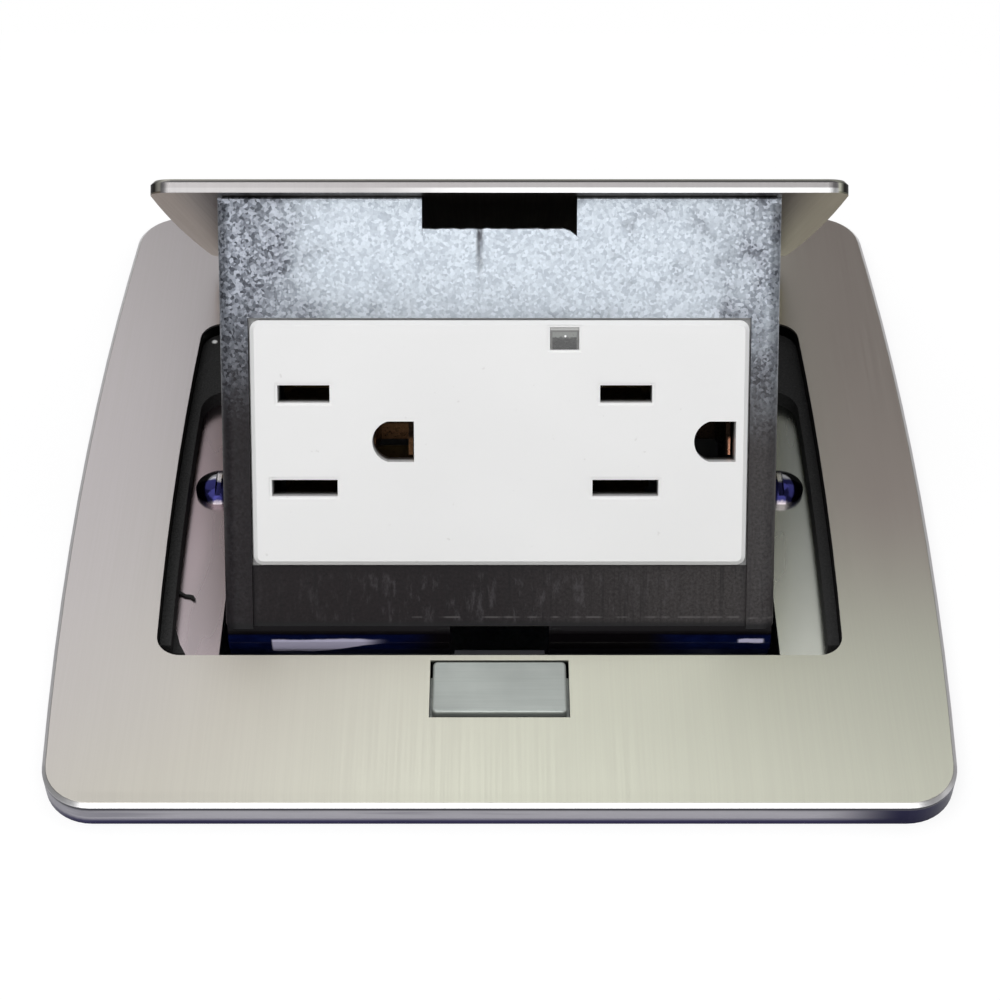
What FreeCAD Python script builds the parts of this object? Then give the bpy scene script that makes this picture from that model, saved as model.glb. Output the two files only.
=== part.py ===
"""Pop-up floor socket box, lid raised: a parametric FreeCAD document, millimetres.

Frame: +X right, +Y towards the hinge, +Z up, origin at the middle of the back box's underside.
Three working frames are used, and each body's Placement carries it into the part's frame:
  top frame    z = 0 at the top of the cover plate
  lid frame    origin on the hinge axis, lid level, so it is drawn closed and placed opened
  panel frame  x right, y up along the socket panel, z out of its front face
"""
import FreeCAD, Part
import math
import os

import Sketcher

Vector = FreeCAD.Vector

SIZES = {
    # cover plate
    "plate_depth": 118.4, "plate_end_width": 118.2, "plate_bulge": 2.55,
    "plate_height": 4.8, "plate_skin": 2.2, "plate_skirt": 2.6, "plate_corner": 7.0,
    "plate_bevel": 1.3, "plate_bevel_drop": 1.6, "opening_front": 35.2, "opening_rear": 31.6,
    "opening_end_width": 93.4, "opening_bulge": 0.8, "opening_corner": 3.5,
    "rim_wall": 0.9, "boss_radius": 3.2, "boss_front_x": 38.0, "boss_front_y": 41.5,
    "boss_rear_x": 24.0, "boss_rear_y": 38.5, "boss_hole": 1.3,
    # lid
    "lid_thick": 1.84, "lid_gap": 0.4, "lid_side_gap": 0.7, "lid_corner": 3.0, "lid_rear_corner": 5.0,
    "lid_bevel": 0.5, "stud_radius": 1.5, "stud_length": 4.6, "stud_x": 31.5,
    "stud_front_y": 61.0, "stud_rear_y": 28.0, "nut_across": 5.5, "nut_height": 2.2,
    # hinge
    "pivot_y": 41.8, "pivot_depth": 17.6, "open_angle": 47.9, "pin_radius": 2.5,
    "pin_clearance": 0.05, "pin_head_radius": 4.2, "pin_head": 1.3, "pin_end_x": 26.5,
    "hub_radius": 6.0, "slot_gap": 0.65, "stop_gap": 0.3, "washer_play": 0.15,
    "washer_radius": 4.6, "clip_thick": 0.8, "clip_radius": 4.4, "clip_inset": 0.9,
    "clip_groove": 0.6,
    # socket carrier, bent from sheet
    "carrier_width": 75.2, "carrier_sheet": 1.2, "panel_lean": 10.8, "panel_length": 58.7,
    "panel_front": 31.56, "panel_top_gap": 0.8, "notch_width": 20.6, "notch_depth": 4.5, "strip_sink": 0.7,
    "flange_width": 8.4, "flange_front": 66.0, "flange_rear": 19.0, "bend_radius": 1.8,
    "lance_reach": 3.0, "lance_at": 12.4, "lance_width": 4.0,
    "lance_gap": 0.1,
    # mounting frame with its hinge brackets
    "frame_sheet": 1.5, "frame_size": 96.0, "frame_inner_half": 38.9, "frame_front": 33.0,
    "bumper_thick": 1.2, "bumper_width": 3.4, "bracket_front": 33.4, "bracket_rear": 47.6,
    "bracket_depth": 21.5, "screw_pitch": 83.3, "latch_cut_half": 7.0, "latch_cut_y": 36.9,
    # fasteners
    "fix_head_radius": 3.5, "fix_head": 2.2, "fix_radius": 1.75, "fix_length": 13.0,
    "fix_clearance": 0.25, "small_radius": 1.25, "small_head_radius": 2.5,
    "small_head": 1.5, "small_clearance": 0.2, "drive_width": 0.8, "drive_depth": 0.7,
    # seals
    "seal_width": 1.65, "seal_thick": 2.55, "seal_wide_from": 18.5, "seal_corner": 4.0,
    "gasket_gap": 0.4,
    # receptacle
    "face_width": 66.8, "face_height": 33.3, "face_drop": 16.4, "face_proud": 0.8,
    "face_corner": 1.3, "face_bevel": 0.6, "face_fit": 0.3, "shell_width": 68.0,
    "shell_height": 38.0, "shell_flange": 2.0, "shell_depth": 24.0, "shell_wall": 1.8,
    "shell_corner": 2.0, "outlet_left": -26.3, "outlet_pitch": 43.3,
    "hot_slot_long": 7.0, "hot_slot_thick": 2.35, "hot_slot_drop": 9.85,
    "neutral_slot_long": 8.9, "neutral_slot_thick": 2.25, "neutral_slot_drop": 22.65,
    "slot_rim": 0.35, "slot_rim_deep": 0.2,
    "ground_offset": 11.65, "ground_long": 6.3, "ground_tall": 5.5, "ground_drop": 16.3,
    "lens_width": 3.9, "lens_height": 3.0, "lens_x": 8.7, "lens_drop": 2.4,
    "lens_depth": 7.0, "lens_sink": 0.35, "lens_gap": 0.05,
    "contact_sheet": 0.6, "contact_gap": 0.3, "contact_depth": 15.0, "bus_height": 6.0,
    "bus_reach": 4.5, "leaf_gap": 0.3, "tab_width": 8.0, "terminal_x": 16.0,
    "terminal_head_radius": 3.4, "terminal_head": 2.0, "terminal_radius": 1.9,
    "terminal_depth": 13.0, "terminal_length": 6.5, 
    "strap_height": 16.0, "strap_sheet": 1.2, "strap_foot": 22.0,
    "rivet_radius": 1.5, "rivet_head_radius": 3.0, "rivet_head": 0.8, "rivet_back": 7.0,
    "post_radius": 2.9, "post_drop": 14.2, "shell_screw_radius": 1.2, "ground_screw_x": 25.0,
    # button and latch
    "button_width": 17.9, "button_long": 8.6, "button_hole_width": 18.7,
    "button_hole_long": 9.6, "button_rise": 0.5, "button_drop": 3.2, "button_corner": 0.7,
    "button_tab": 2.2, "button_tab_thick": 0.8, "button_tab_gap": 0.15, "button_travel": 2.5, "button_clearance": 0.35,
    "wedge_width": 8.0, "wedge_slope": 1.2, "wedge_tip": 9.3, "wedge_front": 40.0,
    "wedge_back": 38.8, "wedge_nose": 44.9, "bolt_half": 6.2, "bolt_top": 6.5,
    "bolt_thick": 3.0, "bolt_front": 45.1, "bolt_window_back": 35.3, "bolt_window_half": 4.4,
    "bolt_gap": 0.3, "bolt_play": 0.15, "bolt_post_back": 32.4, "bolt_post_front": 33.6, "bolt_tip": 30.1,
    "bolt_tip_top": 3.2, "bolt_tip_under": 5.7, "bolt_tip_nose": 5.2, "bolt_tab_front": 35.2,
    "bolt_tab_back": 34.0, "bolt_tab_low": 15.8, "bolt_tab_half": 4.5, "housing_side": 1.5, "housing_gap": 0.3,
    "housing_low": 17.2, "housing_front": 48.1, "housing_wall": 1.1, "housing_back": 33.8,
    "housing_ledge": 1.6, "housing_wing": 17.5, "housing_wing_thick": 2.6,
    "housing_screw_x": 14.5, "housing_screw_y": 38.0, "latch_spring_radius": 1.6,
    "latch_spring_wire": 0.45, "latch_spring_drop": 13.9, "latch_spring_turns": 7.0,
    "button_spring_x": 9.6, "button_spring_radius": 1.0, "button_spring_wire": 0.35,
    "button_spring_turns": 5.0, "button_spring_low": 8.4, 
    # torsion springs
    "coil_radius": 3.6, "coil_wire": 1.2, "coil_whole_turns": 4.0, "coil_pitch": 1.35,
    "coil_side_gap": 0.5, "leg_length": 14.0, "leg_angle": 155.0, "leg_hole": 0.85,
    "leg_rise": 12.6,
    # back box
    "box_size": 100.0, "box_depth": 64.0, "box_wall": 1.6, "box_corner": 4.0,
    "ear_width": 12.0, "ear_leg": 14.0, "ear_sheet": 1.6, "knockout_radius": 11.1,
    "knockout_height": 28.0, "knockout_groove": 0.5, "knockout_cut": 0.6,
    "anchor_hole": 2.4, "anchor_pitch": 70.0, "earth_x": 22.0, "earth_y": 30.0,
    "earth_radius": 2.0, "earth_head_radius": 4.0, "earth_head": 2.2, "earth_boss": 4.6,
    "earth_boss_height": 2.0,
}


class Size:
    """A number, together with the cell expression that gives it."""

    def __init__(self, value, text):
        self.value = value
        self.text = text

    def __add__(self, other):
        return join(self, "+", other)

    def __radd__(self, other):
        return join(other, "+", self)

    def __sub__(self, other):
        return join(self, "-", other)

    def __rsub__(self, other):
        return join(other, "-", self)

    def __mul__(self, other):
        return join(self, "*", other)

    def __rmul__(self, other):
        return join(other, "*", self)

    def __truediv__(self, other):
        return join(self, "/", other)

    def __neg__(self):
        return join(-1, "*", self)


def as_size(number):
    return number if isinstance(number, Size) else Size(float(number), "(%r)" % float(number))


def join(left, sign, right):
    left = as_size(left)
    right = as_size(right)
    results = {
        "+": lambda a, b: a + b,
        "-": lambda a, b: a - b,
        "*": lambda a, b: a * b,
        "/": lambda a, b: a / b,
    }
    value = results[sign](left.value, right.value)
    return Size(value, "(%s %s %s)" % (left.text, sign, right.text))


def sine(angle):
    angle = as_size(angle)
    return Size(math.sin(math.radians(angle.value)), "sin(%s * 1 deg)" % angle.text)


def cosine(angle):
    angle = as_size(angle)
    return Size(math.cos(math.radians(angle.value)), "cos(%s * 1 deg)" % angle.text)


def root(number):
    return Size(math.sqrt(number.value), "sqrt(%s)" % number.text)


def direction(y, x):
    """The angle in degrees of the direction (x, y)."""
    text = "(atan2(%s; %s) / 1 deg)" % (as_size(y).text, as_size(x).text)
    return Size(math.degrees(math.atan2(as_size(y).value, as_size(x).value)), text)


def arc_sine(number):
    return Size(math.degrees(math.asin(number.value)), "(asin(%s) / 1 deg)" % number.text)


def bow_radius(half_chord, rise):
    """Radius of the arc with this half chord and rise."""
    return (half_chord * half_chord + rise * rise) / (2 * rise)


doc = FreeCAD.newDocument("floor_socket_box")
sheet = doc.addObject("Spreadsheet::Sheet", "Sizes")
for row, (alias, number) in enumerate(SIZES.items(), 1):
    sheet.set("A%d" % row, alias)
    sheet.set("B%d" % row, repr(number))
    sheet.setAlias("B%d" % row, alias)
doc.recompute()


class Cells:
    """Each driving dimension, by its alias."""

    def __getattr__(self, alias):
        return Size(float(sheet.get(alias)), "Sizes." + alias)


s = Cells()
nodes = []


# ---- sketches and features ------------------------------------------------------------------

def plane_of(body, role):
    return [item for item in body.Origin.OriginFeatures if item.Role == role][0]


def bind(item, path, size):
    item.setExpression(path, as_size(size).text)


def new_body(name, kind="top"):
    body = doc.addObject("PartDesign::Body", name)
    body.Label = name
    body.AllowCompound = True
    nodes.append(body)
    place(body, kind)
    return body


def place(item, kind):
    """Carries an object out of its working frame into the part's frame."""
    plate_top = s.box_depth + s.plate_height
    pivot_z = plate_top - s.pivot_depth
    if kind == "top":
        bind(item, "Placement.Base.z", plate_top)
    elif kind == "lid":
        item.Placement = FreeCAD.Placement(Vector(), FreeCAD.Rotation(Vector(-1, 0, 0), 30))
        bind(item, "Placement.Base.y", s.pivot_y)
        bind(item, "Placement.Base.z", pivot_z)
        bind(item, "Placement.Rotation.Angle", s.open_angle)
    elif kind == "panel":
        origin_y = s.pivot_y + swing_y(panel_origin_y, panel_origin_z)
        origin_z = pivot_z + swing_z(panel_origin_y, panel_origin_z)
        item.Placement = FreeCAD.Placement(Vector(), FreeCAD.Rotation(Vector(1, 0, 0), 50))
        bind(item, "Placement.Base.y", origin_y)
        bind(item, "Placement.Base.z", origin_z)
        bind(item, "Placement.Rotation.Angle", 90 + s.panel_lean - s.open_angle)


def swing_y(y, z):
    return y * cosine(s.open_angle) + z * sine(s.open_angle)


def swing_z(y, z):
    return z * cosine(s.open_angle) - y * sine(s.open_angle)


def new_sketch(body, role, offset=None, shift_x=None, shift_y=None):
    sketch = body.newObject("Sketcher::SketchObject", body.Name + "_sketch")
    sketch.AttachmentSupport = [(plane_of(body, role), "")]
    sketch.MapMode = "FlatFace"
    for axis, size in (("x", shift_x), ("y", shift_y), ("z", offset)):
        if size is not None:
            bind(sketch, "AttachmentOffset.Base." + axis, size)
    return sketch


def pin_point(sketch, geometry, end, x, y):
    """Fixes a point by its distances from the sketch's origin."""
    for kind, size in (("DistanceX", x), ("DistanceY", y)):
        size = as_size(size)
        number = sketch.addConstraint(Sketcher.Constraint(kind, -1, 1, geometry, end, size.value))
        sketch.setExpression("Constraints[%d]" % number, size.text)


def arc_between(start, stop, radius):
    """An anticlockwise arc, and whether it runs from stop to start to be so."""
    chord = stop - start
    half = chord.Length / 2
    reach = math.sqrt(max(radius * radius - half * half, 0))
    left = Vector(-chord.y, chord.x, 0).normalize()
    centre = (start + stop) * 0.5 + left * math.copysign(reach, radius)
    turned = radius < 0
    if turned:
        start, stop = stop, start
    begin = math.atan2(start.y - centre.y, start.x - centre.x)
    end = math.atan2(stop.y - centre.y, stop.x - centre.x)
    if end < begin:
        end += 2 * math.pi
    ring = Part.Circle(centre, Vector(0, 0, 1), abs(radius))
    return Part.ArcOfCircle(ring, begin, end), turned


def outline(sketch, points, arcs=None):
    """A closed outline. arcs gives, for an edge's number, its radius: positive bulges right."""
    arcs = arcs or {}
    first = sketch.GeometryCount
    count = len(points)
    corners = [Vector(as_size(x).value, as_size(y).value, 0) for x, y in points]
    ends = []
    for index in range(count):
        start = corners[index]
        stop = corners[(index + 1) % count]
        if index in arcs:
            geometry, turned = arc_between(start, stop, as_size(arcs[index]).value)
            sketch.addGeometry(geometry, False)
            ends.append((2, 1) if turned else (1, 2))
        else:
            sketch.addGeometry(Part.LineSegment(start, stop), False)
            ends.append((1, 2))
    for index, (x, y) in enumerate(points):
        before = (index - 1) % count
        sketch.addConstraint(Sketcher.Constraint(
            "Coincident", first + before, ends[before][1], first + index, ends[index][0]))
        pin_point(sketch, first + index, ends[index][0], x, y)
    for index, radius in arcs.items():
        radius = as_size(radius)
        number = sketch.addConstraint(Sketcher.Constraint(
            "Radius", first + index, abs(radius.value)))
        sketch.setExpression("Constraints[%d]" % number, "abs(%s)" % radius.text)


def rectangle(sketch, left, right, low, high):
    outline(sketch, [(left, low), (right, low), (right, high), (left, high)])


def circle(sketch, x, y, radius):
    radius = as_size(radius)
    centre = Vector(as_size(x).value, as_size(y).value, 0)
    geometry = sketch.addGeometry(Part.Circle(centre, Vector(0, 0, 1), radius.value), False)
    pin_point(sketch, geometry, 3, x, y)
    number = sketch.addConstraint(Sketcher.Constraint("Radius", geometry, radius.value))
    sketch.setExpression("Constraints[%d]" % number, radius.text)


def feature(body, kind, sketch, length, both=False, back=False):
    item = body.newObject("PartDesign::" + kind, body.Name + "_" + kind.lower())
    item.Profile = sketch
    bind(item, "Length", length)
    item.SideType = "Symmetric" if both else "One side"
    item.Reversed = back
    return item


def pad(body, sketch, length, both=False, back=False):
    return feature(body, "Pad", sketch, length, both, back)


def pocket(body, sketch, length, both=False, back=False):
    """Cuts a pocket, and checks that it took something away."""
    doc.recompute()
    before = body.Shape.Volume
    item = feature(body, "Pocket", sketch, length, both, back)
    doc.recompute()
    if body.Shape.Volume > before - 1e-3:
        raise RuntimeError("a pocket in %s cuts nothing" % body.Label)
    return item


def revolve(body, sketch, axis="V_Axis"):
    item = body.newObject("PartDesign::Revolution", body.Name + "_revolution")
    item.Profile = sketch
    item.ReferenceAxis = (sketch, [axis])
    item.Angle = 360
    return item


def mirror(body, items, role="YZ_Plane"):
    item = body.newObject("PartDesign::Mirrored", body.Name + "_mirrored")
    item.Originals = items
    item.MirrorPlane = (plane_of(body, role), [""])
    body.Tip = item
    return item


def dress(body, kind, chosen, size):
    """Fillets or chamfers the edges of the body's tip that a test picks out."""
    doc.recompute()
    base = body.Tip
    names = []
    for number, edge in enumerate(base.Shape.Edges, 1):
        if chosen(edge):
            names.append("Edge%d" % number)
    if not names:
        raise RuntimeError("no edge to dress in %s" % body.Label)
    item = body.newObject("PartDesign::" + kind, body.Name + "_" + kind.lower())
    item.Base = (base, names)
    bind(item, "Radius" if kind == "Fillet" else "Size", size)
    return item


def middle_of(edge):
    return edge.valueAt((edge.FirstParameter + edge.LastParameter) / 2)


def runs_along(edge, axis):
    if edge.Curve.TypeId != "Part::GeomLine":
        return False
    return abs(edge.tangentAt(edge.FirstParameter).dot(axis)) > 0.999


def near(a, b, slack=0.02):
    return abs(a - as_size(b).value) < slack


X_AXIS = Vector(1, 0, 0)
Y_AXIS = Vector(0, 1, 0)
Z_AXIS = Vector(0, 0, 1)

# ---- values that several sub-parts share ----------------------------------------------------

plate_bow_r = bow_radius(s.plate_depth / 2, s.plate_bulge)
opening_middle = (s.opening_rear - s.opening_front) / 2
opening_half_depth = (s.opening_rear + s.opening_front) / 2
opening_mid_width = s.opening_end_width + 2 * s.opening_bulge
opening_bow_r = bow_radius(opening_half_depth, s.opening_bulge)
carrier_half = s.carrier_width / 2
carrier_inner = carrier_half - s.carrier_sheet
lid_under = s.pivot_depth - s.lid_thick
panel_origin_y = -(s.panel_front + s.pivot_y)
panel_origin_z = lid_under
frame_top = -s.plate_height
frame_under = frame_top - s.frame_sheet
frame_rear_edge = s.opening_rear + s.bumper_thick - 0.2
bumper_front = frame_rear_edge - s.bumper_thick
screw_half_pitch = s.screw_pitch / 2
face_top = -s.face_drop
face_low = face_top - s.face_height
face_middle = face_top - s.face_height / 2
shell_front = -s.carrier_sheet
shell_split = shell_front - s.shell_flange
shell_back = shell_split - s.shell_depth
shell_top = face_middle + s.shell_height / 2
shell_low = face_middle - s.shell_height / 2
hot_slot_y = face_top - s.hot_slot_drop
neutral_slot_y = face_top - s.neutral_slot_drop
ground_y = face_top - s.ground_drop
outlet_xs = [s.outlet_left, s.outlet_left + s.outlet_pitch]
button_front = -(s.opening_front + s.rim_wall + s.button_hole_long)
button_middle_y = -(s.opening_front + s.rim_wall + s.button_hole_long / 2)
ear_top = frame_under
bolt_travel = s.button_travel * s.wedge_slope


def bowed(sketch, end_half, low, high, bow_r):
    """An outline with straight ends and bowed sides."""
    points = [(-end_half, low), (end_half, low), (end_half, high), (-end_half, high)]
    outline(sketch, points, {1: bow_r, 3: bow_r})


# ---- cover plate and lid --------------------------------------------------------------------

def make_cover_plate():
    body = new_body("cover_plate")
    end_half = s.plate_end_width / 2
    half_depth = s.plate_depth / 2
    sketch = new_sketch(body, "XY_Plane")
    bowed(sketch, end_half, -half_depth, half_depth, plate_bow_r)
    pad(body, sketch, s.plate_height, back=True)
    dress(body, "Fillet", lambda edge: runs_along(edge, Z_AXIS), s.plate_corner)

    doc.recompute()
    base = body.Tip
    rim = []
    for number, edge in enumerate(base.Shape.Edges, 1):
        if near(edge.BoundBox.ZMin, 0) and near(edge.BoundBox.ZMax, 0):
            rim.append("Edge%d" % number)
    bevel = body.newObject("PartDesign::Chamfer", "cover_plate_bevel")
    bevel.Base = (base, rim)
    bevel.ChamferType = "Two distances"
    bind(bevel, "Size", s.plate_bevel)
    bind(bevel, "Size2", s.plate_bevel_drop)

    recess = new_sketch(body, "XY_Plane", -s.plate_height)
    skirt = s.plate_skirt
    bowed(recess, end_half - skirt, skirt - half_depth, half_depth - skirt, plate_bow_r - skirt)
    hollow = pocket(body, recess, s.plate_height - s.plate_skin, back=True)
    dress(body, "Fillet", lambda edge: runs_along(edge, Z_AXIS)
          and middle_of(edge).z < -s.plate_skin.value
          and abs(middle_of(edge).x) < end_half.value - skirt.value / 2
          and abs(middle_of(edge).y) < half_depth.value - skirt.value / 2,
          s.plate_corner - skirt)

    collar = new_sketch(body, "XY_Plane", -s.plate_height)
    grown = s.rim_wall
    bowed(collar, s.opening_end_width / 2 + grown, -s.opening_front - grown,
          s.opening_rear + grown, opening_bow_r + grown)
    pad(body, collar, s.plate_height - s.plate_skin)
    bosses = new_sketch(body, "XY_Plane", -s.plate_height)
    for side in (-1, 1):
        circle(bosses, side * s.boss_front_x, -s.boss_front_y, s.boss_radius)
        circle(bosses, side * s.boss_rear_x, s.boss_rear_y, s.boss_radius)
    pad(body, bosses, s.plate_height - s.plate_skin)

    opening = new_sketch(body, "XY_Plane")
    bowed(opening, s.opening_end_width / 2, -s.opening_front, s.opening_rear, opening_bow_r)
    pocket(body, opening, s.plate_height)
    inside = lambda edge: (runs_along(edge, Z_AXIS) and edge.Length > s.plate_skin.value + 1
                           and near(abs(middle_of(edge).x), s.opening_end_width / 2))
    dress(body, "Fillet", inside, s.opening_corner)

    button = new_sketch(body, "XY_Plane")
    rear = -(s.opening_front + s.rim_wall)
    half = s.button_hole_width / 2
    rectangle(button, -half, half, button_front, rear)
    pocket(body, button, s.plate_height)
    holes = new_sketch(body, "XY_Plane", -s.plate_height)
    for side in (-1, 1):
        circle(holes, side * s.boss_front_x, -s.boss_front_y, s.boss_hole)
        circle(holes, side * s.boss_rear_x, s.boss_rear_y, s.boss_hole)
    pocket(body, holes, s.plate_height - s.plate_skin / 2, back=True)
    passage = new_sketch(body, "XY_Plane", -s.plate_height)
    rectangle(passage, -s.latch_cut_half, s.latch_cut_half, rear - 0.5, 0.5 - s.opening_front)
    pocket(body, passage, s.plate_height - s.plate_skin, back=True)


def make_lid():
    body = new_body("lid", "lid")
    end_half = s.opening_end_width / 2 - s.lid_side_gap
    front = s.lid_gap - s.opening_front - s.pivot_y
    edge_reach = sweep_clear
    rear = -root(edge_reach * edge_reach - s.pivot_depth * s.pivot_depth)
    sketch = new_sketch(body, "XY_Plane", lid_under)
    bowed(sketch, end_half, front, rear, opening_bow_r - s.lid_side_gap)
    pad(body, sketch, s.lid_thick)
    dress(body, "Fillet", lambda edge: runs_along(edge, Z_AXIS)
          and middle_of(edge).y < rear.value - 1, s.lid_corner)
    dress(body, "Fillet", lambda edge: runs_along(edge, Z_AXIS)
          and middle_of(edge).y > rear.value - 1, s.lid_rear_corner)
    relief = new_sketch(body, "YZ_Plane")
    circle(relief, 0, 0, edge_reach)
    pocket(body, relief, opening_mid_width + 2, both=True)
    dress(body, "Chamfer", lambda edge: near(edge.BoundBox.ZMin, s.pivot_depth)
          and near(edge.BoundBox.ZMax, s.pivot_depth)
          and middle_of(edge).y < rear.value - 1, s.lid_bevel)
    studs = new_sketch(body, "XY_Plane", lid_under)
    for side in (-1, 1):
        for y in (s.stud_front_y, s.stud_rear_y):
            circle(studs, side * s.stud_x, -y, s.stud_radius)
    pad(body, studs, s.stud_length, back=True)


# ---- socket carrier -------------------------------------------------------------------------

# The opening's rear edge passes over the arms as the lid swings, so they are cut clear of it.
plate_edge_reach = root((s.pivot_y - s.opening_rear) * (s.pivot_y - s.opening_rear)
                        + s.pivot_depth * s.pivot_depth)
sweep_clear = plate_edge_reach + s.lid_gap * 0.75
slot_outer = plate_edge_reach + s.slot_gap
bumper_rise = s.pivot_depth + frame_under
bumper_angle = direction(bumper_rise, bumper_front - s.pivot_y)
bumper_reach = root((s.pivot_y - bumper_front) * (s.pivot_y - bumper_front)
                    + bumper_rise * bumper_rise)
slot_end = bumper_angle + s.open_angle + s.stop_gap / bumper_reach * (180 / math.pi)
panel_low_y = panel_origin_y + s.panel_length * sine(s.panel_lean)
panel_low_z = panel_origin_z - s.panel_length * cosine(s.panel_lean)


def on_circle(radius, angle):
    return radius * cosine(angle), radius * sine(angle)


def panel_sketch(body):
    """A sketch on the front of the leaning panel, in a body drawn in the lid frame."""
    sketch = body.newObject("Sketcher::SketchObject", body.Name + "_panel_sketch")
    sketch.AttachmentSupport = [(plane_of(body, "XY_Plane"), "")]
    sketch.MapMode = "FlatFace"
    sketch.AttachmentOffset = FreeCAD.Placement(
        Vector(), FreeCAD.Rotation(Vector(1, 0, 0), 90))
    bind(sketch, "AttachmentOffset.Rotation.Angle", 90 + s.panel_lean)
    bind(sketch, "AttachmentOffset.Base.y", panel_origin_y)
    bind(sketch, "AttachmentOffset.Base.z", panel_origin_z)
    return sketch


def make_carrier_bracket():
    body = new_body("carrier_bracket", "lid")
    lean = s.panel_lean
    rear_top_y = -root(slot_outer * slot_outer - lid_under * lid_under)
    far = root(panel_low_y * panel_low_y + panel_low_z * panel_low_z)
    run = direction(-panel_low_z, -panel_low_y) - arc_sine(s.hub_radius / far)
    sketch = new_sketch(body, "YZ_Plane")
    points = [(panel_low_y, panel_low_z), on_circle(s.hub_radius, run - 90), (0, 0),
              on_circle(slot_outer, slot_end), (rear_top_y, lid_under),
              (panel_origin_y, panel_origin_z)]
    outline(sketch, points, {3: -1 * slot_outer})
    pad(body, sketch, s.carrier_width, both=True)
    hub = new_sketch(body, "YZ_Plane")
    circle(hub, 0, 0, s.hub_radius)
    pad(body, hub, s.carrier_width, both=True)

    # hollow between the cheeks, behind the leaning panel
    behind = s.carrier_sheet / cosine(lean)
    deep = s.hub_radius + 1
    low = panel_low_z - 2
    slope = sine(lean) / cosine(lean)
    low_y = panel_origin_y + behind + (panel_origin_z - low) * slope
    high_y = panel_origin_y + behind - slope
    hollow = new_sketch(body, "YZ_Plane")
    outline(hollow, [(low_y, low), (deep, low), (deep, lid_under + 1), (high_y, lid_under + 1)])
    pocket(body, hollow, 2 * carrier_inner, both=True)
    trim = new_sketch(body, "YZ_Plane")
    rectangle(trim, panel_origin_y - 1, high_y + 2 * slope + 0.02,
              lid_under - s.panel_top_gap, lid_under + 1)
    pocket(body, trim, s.carrier_width + 1, both=True)

    flanges = new_sketch(body, "XY_Plane", lid_under)
    rectangle(flanges, carrier_inner - s.flange_width, carrier_inner + 0.2,
              -s.flange_front, -s.flange_rear)
    rectangle(flanges, -carrier_inner - 0.2, s.flange_width - carrier_inner,
              -s.flange_front, -s.flange_rear)
    pad(body, flanges, s.carrier_sheet, back=True)

    # tongues lanced out of the cheeks, which the spring legs push up
    lance_angle = s.leg_angle + s.open_angle
    up = lance_angle - 90
    base_y, base_z = on_circle(s.lance_at, lance_angle)
    lift = s.coil_wire / 2 + s.lance_gap - s.coil_radius
    base_y = base_y + lift * cosine(up)
    base_z = base_z + lift * sine(up)
    along_y, along_z = on_circle(s.lance_width / 2, lance_angle)
    over_y, over_z = on_circle(s.carrier_sheet, up)
    lances = new_sketch(body, "YZ_Plane", carrier_inner - s.lance_reach)
    outline(lances, [(base_y - along_y, base_z - along_z), (base_y + along_y, base_z + along_z),
                     (base_y + along_y + over_y, base_z + along_z + over_z),
                     (base_y - along_y + over_y, base_z - along_z + over_z)])
    lance = pad(body, lances, s.lance_reach + 0.2)
    mirror(body, [lance])

    windows = panel_sketch(body)
    half = s.face_width / 2 + s.face_fit
    rectangle(windows, -half, half, face_low - s.face_fit, face_top + s.face_fit)
    half = s.notch_width / 2
    rectangle(windows, -half, half, -(s.panel_top_gap + s.notch_depth), 1)
    pocket(body, windows, 4 * s.carrier_sheet, both=True)
    strip = panel_sketch(body)
    half = s.face_width / 2 + s.face_fit
    rectangle(strip, -half, half, -(s.panel_length + 1), face_low - s.face_fit + 0.1)
    pocket(body, strip, 2 * s.strip_sink, both=True)

    pins = new_sketch(body, "YZ_Plane")
    circle(pins, 0, 0, s.pin_radius + s.pin_clearance)
    rivet_y = panel_origin_y + (s.face_drop + s.face_height / 2) * sine(lean)
    rivet_y = rivet_y + (s.carrier_sheet + rivet_depth) * cosine(lean)
    rivet_z = panel_origin_z - (s.face_drop + s.face_height / 2) * cosine(lean)
    rivet_z = rivet_z + (s.carrier_sheet + rivet_depth) * sine(lean)
    circle(pins, rivet_y, rivet_z, s.rivet_radius)
    pocket(body, pins, s.carrier_width + 1, both=True)
    studs = new_sketch(body, "XY_Plane", lid_under)
    for side in (-1, 1):
        for y in (s.stud_front_y, s.stud_rear_y):
            circle(studs, side * s.stud_x, -y, s.stud_radius + s.small_clearance)
    pocket(body, studs, 3 * s.carrier_sheet)

    slant = Vector(0, sine(lean).value, -cosine(lean).value)
    dress(body, "Fillet", lambda edge: runs_along(edge, slant)
          and near(abs(middle_of(edge).x), carrier_half) and edge.Length > 20
          and middle_of(edge).y < (panel_low_y + 0.3).value, s.bend_radius)


rivet_depth = s.shell_flange + s.shell_depth - s.rivet_back


def make_lid_nuts():
    body = new_body("lid_nuts", "lid")
    sketch = new_sketch(body, "XY_Plane", lid_under - s.carrier_sheet)
    corner = s.nut_across / (2 * cosine(30))
    for side in (-1, 1):
        for y in (s.stud_front_y, s.stud_rear_y):
            points = []
            for turn in range(6):
                reach_x, reach_y = on_circle(corner, 60 * turn)
                points.append((side * s.stud_x + reach_x, reach_y - y))
            outline(sketch, points)
            circle(sketch, side * s.stud_x, -y, s.stud_radius)
    pad(body, sketch, s.nut_height, back=True)


# ---- mounting frame and hinge ---------------------------------------------------------------

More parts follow.
